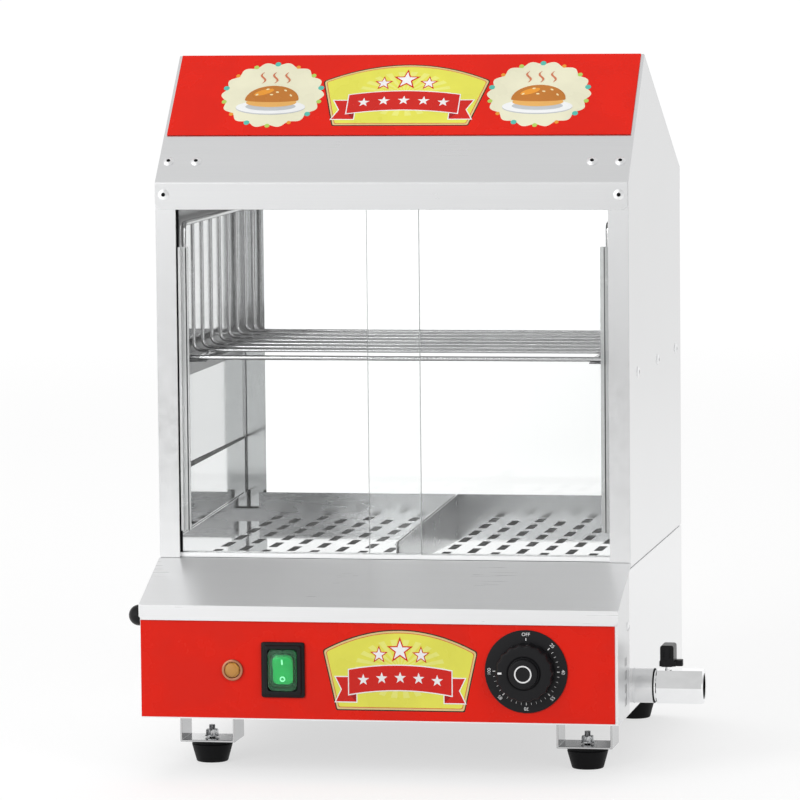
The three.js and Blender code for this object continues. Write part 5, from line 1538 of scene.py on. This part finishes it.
def rack_shells():
    """The hoops, the cross wires, the frame wires along the tops, bent down over the hoops, and the bars. The
    rack leaves a little slack at the right."""
    x0, x1 = rack_low[0] + frame_radius, rack_high[0] - frame_radius - rack_slack
    y0, y1 = rack_low[1] + frame_radius, rack_high[1] - frame_radius
    frame_z = rack_low[2] + frame_radius
    shelf_z = frame_z + frame_radius + wire_radius - weld_depth
    top_z = rack_high[2] - frame_radius
    right, back, up = np.eye(3)
    quarter = (bend_radius, 0, np.pi / 2)
    shells = []
    for count, y in enumerate(np.linspace(y0, y1, wire_count + 2)):
        outer = count in (0, wire_count + 1)
        z, end_z, radius = shelf_z, top_z, wire_radius
        if outer:
            z, end_z, radius = frame_z, top_z - 2 * bend_radius, hoop_radius
        path = np.concatenate((
            [(x0, y, end_z)], arc((x0 + bend_radius, y, z + bend_radius), -right, -up, *quarter),
            arc((x1 - bend_radius, y, z + bend_radius), -up, right, *quarter), [(x1, y, end_z)],
        ))
        shells.append(tube(path, radius, back))
    for x in (x0, x1):
        low, high = top_z - 3 * bend_radius, top_z - bend_radius
        path = np.concatenate((
            [(x, y0, low)], arc((x, y0 + bend_radius, high), -back, up, *quarter),
            arc((x, y1 - bend_radius, high), up, back, *quarter), [(x, y1, low)],
        ))
        shells.append(tube(path, frame_radius, right))
    for x in (x0 + bar_inset, x1 - bar_inset):
        shells.append(tube([(x, y0, frame_z), (x, y1, frame_z)], frame_radius, right))
    return shells


piece("wire_rack", rack_shells(), wire_bright, "bun_rack_body", ["bun_rack"], 40)

# Screws. Button headed screws with a hexagon socket fasten the hood to the posts and the linings and rails
# to the side sheets, and a smaller one holds each cheek of the base.
head_radius = 4.7 * mm
head_height = 1.7 * mm
socket_across = 3.4 * mm
socket_depth = 1.5 * mm
slope_screws = (-199 * mm, -174.5 * mm, 174.5 * mm, 199 * mm)
slope_screw_up = 25 * mm
fascia_screws = (-200 * mm, 200 * mm)
fascia_screw_height = 448 * mm
side_screws = (133 * mm, 261 * mm, 383 * mm)
side_screw_height = 291 * mm
hood_setback = 78.5 * mm
cheek_screw_back = 59.3 * mm
cheek_screw_height = 77.6 * mm
screw_steel = steel_finish("screw steel", (0.90, 0.905, 0.91, 1), 0.40, (300, 300, 300), 0.003 * mm)


def button_head(radius, height, across, depth):
    """A button head: a hexagon socket in the middle of a low dome, which is part of a sphere, and a short
    straight rim."""
    angle = np.linspace(0, 2 * np.pi, 72, endpoint=False)
    flat = six_sided(angle, across)
    share = np.linspace(0.0, 1.0, 12)[:, None]
    start = flat[None] + 0.15 * mm
    radii = start + (radius - start) * share
    sphere = (radius ** 2 + height ** 2) / (2 * height) * 1.25
    level = np.sqrt(sphere ** 2 - radii ** 2)
    level = height * 0.22 + (level - level[-1:]) / (level[0].max() - level[-1].min()) * height * 0.78
    rows = [
        (np.zeros_like(flat), level[0] - depth), (flat, level[0] - depth), (flat, level[0] - 0.1 * mm),
    ]
    rows += [(radii[i], level[i]) for i in range(len(share))]
    rows += [(np.full_like(flat, radius), np.zeros_like(flat)), (np.zeros_like(flat), np.zeros_like(flat))]
    return np.array([np.stack((r * np.cos(angle), r * np.sin(angle), h), axis=1) for r, h in rows])


def along(rows, place, across, up, out):
    """Carries points into three given directions, out from a place."""
    return np.asarray(place) + rows @ np.array((across, up, out))


x_axis = np.array((1.0, 0, 0))
# A black hexagon sunk in each screw's socket is painted shade in the recess.
socket_corners = np.arange(6) * np.pi / 3
socket_shade_points, socket_shade_faces = slab(
    socket_across * 0.56 * np.stack((np.cos(socket_corners), np.sin(socket_corners)), axis=1),
    head_height - 0.9 * mm, head_height - 0.3 * mm)
head = button_head(head_radius, head_height, socket_across, socket_depth)
small_head = button_head(4.0 * mm, 1.9 * mm, 2.6 * mm, 1.6 * mm)
hood_low = box("hood_front")[0]
fold_place = sign_foot - sign_up * sign_start - sign_out * (0.3 * mm + sign_skin)
slope_places = [fold_place + x_axis * across + sign_up * slope_screw_up for across in slope_screws]
fascia_places = [(console_middle[0] + across, hood_low[1], base_above_floor + fascia_screw_height)
                 for across in fascia_screws]
heads = [along(head, place, x_axis, sign_up, sign_out) for place in slope_places]
heads += [stood(head, place, "front") for place in fascia_places]
socket_shades = [along(socket_shade_points, place, x_axis, sign_up, sign_out) for place in slope_places]
socket_shades += [stood(socket_shade_points, place, "front") for place in fascia_places]
piece("hood_screws", [skin(rows) for rows in heads], screw_steel, "cabinet")
side_heads = []
for side, face_x in (("right", box("side_panel_right")[1][0]), ("left", box("side_panel_left")[0][0])):
    for back in side_screws:
        place = (face_x, hood_low[1] + back - hood_setback, base_above_floor + side_screw_height)
        side_heads.append(stood(head, place, side))
        socket_shades.append(stood(socket_shade_points, place, side))
piece("side_screws", [skin(rows) for rows in side_heads], screw_steel, "cabinet")
# Painted shade in the screw sockets.
piece("screw_socket_shades", [(points, socket_shade_faces) for points in socket_shades], black_rubber, "cabinet")
cheek_x = box("front_console")[1][0]
cheek_place = (cheek_x, panel_high[1] + cheek_screw_back, base_above_floor + cheek_screw_height)
piece("cheek_screw", [skin(stood(small_head, cheek_place, "right"))], screw_steel, "cabinet")

# Side knob and cable gland. A round black knob stands on the left cheek, and a black plastic gland with a
# domed nut is set in the back wall where the cable would enter.
knob_low, knob_high, knob_middle = box("side_knob")
gland_low, gland_high, gland_middle = box("cable_gland")
back_y = box("base_back")[1][1]
cheek_left = box("front_console")[0][0]
side_knob_radius = (knob_high[1] - knob_low[1]) / 2
side_knob_reach = cheek_left - knob_low[0]
neck_radius = 6.2 * mm


def side_knob_rows():
    """A ball on a short neck with a collar against the sheet."""
    start = np.arcsin(neck_radius / side_knob_radius)
    angle = np.linspace(start, np.pi, 24)
    ball = np.stack((side_knob_radius * np.sin(angle),
                     side_knob_reach - side_knob_radius - side_knob_radius * np.cos(angle)), axis=1)
    foot = rounded([
        (0, 0.3 * mm), (neck_radius + 0.8 * mm, 0.3 * mm), (neck_radius + 0.8 * mm, 1.6 * mm),
        (neck_radius, 2.4 * mm), tuple(ball[0]),
    ], 0.3 * mm)
    return turned(np.concatenate((foot, ball[1:])))


knob_place = (cheek_left, knob_middle[1], knob_middle[2])
piece("ball_knob", [skin(stood(side_knob_rows(), knob_place, "left"))], black_plastic, "cabinet",
      ["side_knob"], 50)
gland_radius = (gland_high[0] - gland_low[0]) / 2
gland_reach = gland_high[1] - back_y
gland_bore = 4 * mm
gland_chamfer = gland_radius * 0.86
gland_rows = hexagonal([
    (gland_bore, 0.3 * mm), (gland_chamfer, 0.3 * mm), (gland_radius, 1.0 * mm), (gland_radius, 5.6 * mm),
    (gland_chamfer, 6.3 * mm), (9 * mm, 6.3 * mm), (9 * mm, gland_reach - 3 * mm),
    (8.2 * mm, gland_reach - 1.3 * mm), (6.4 * mm, gland_reach - 0.2 * mm), (5.6 * mm, gland_reach),
    (gland_bore, gland_reach), (gland_bore, 0.3 * mm),
], gland_radius * 2 * 0.9)
piece("gland_nut", [skin(stood(gland_rows, (gland_middle[0], back_y, gland_middle[2]), "back"))],
      black_plastic, "cabinet", ["cable_gland"], 25)
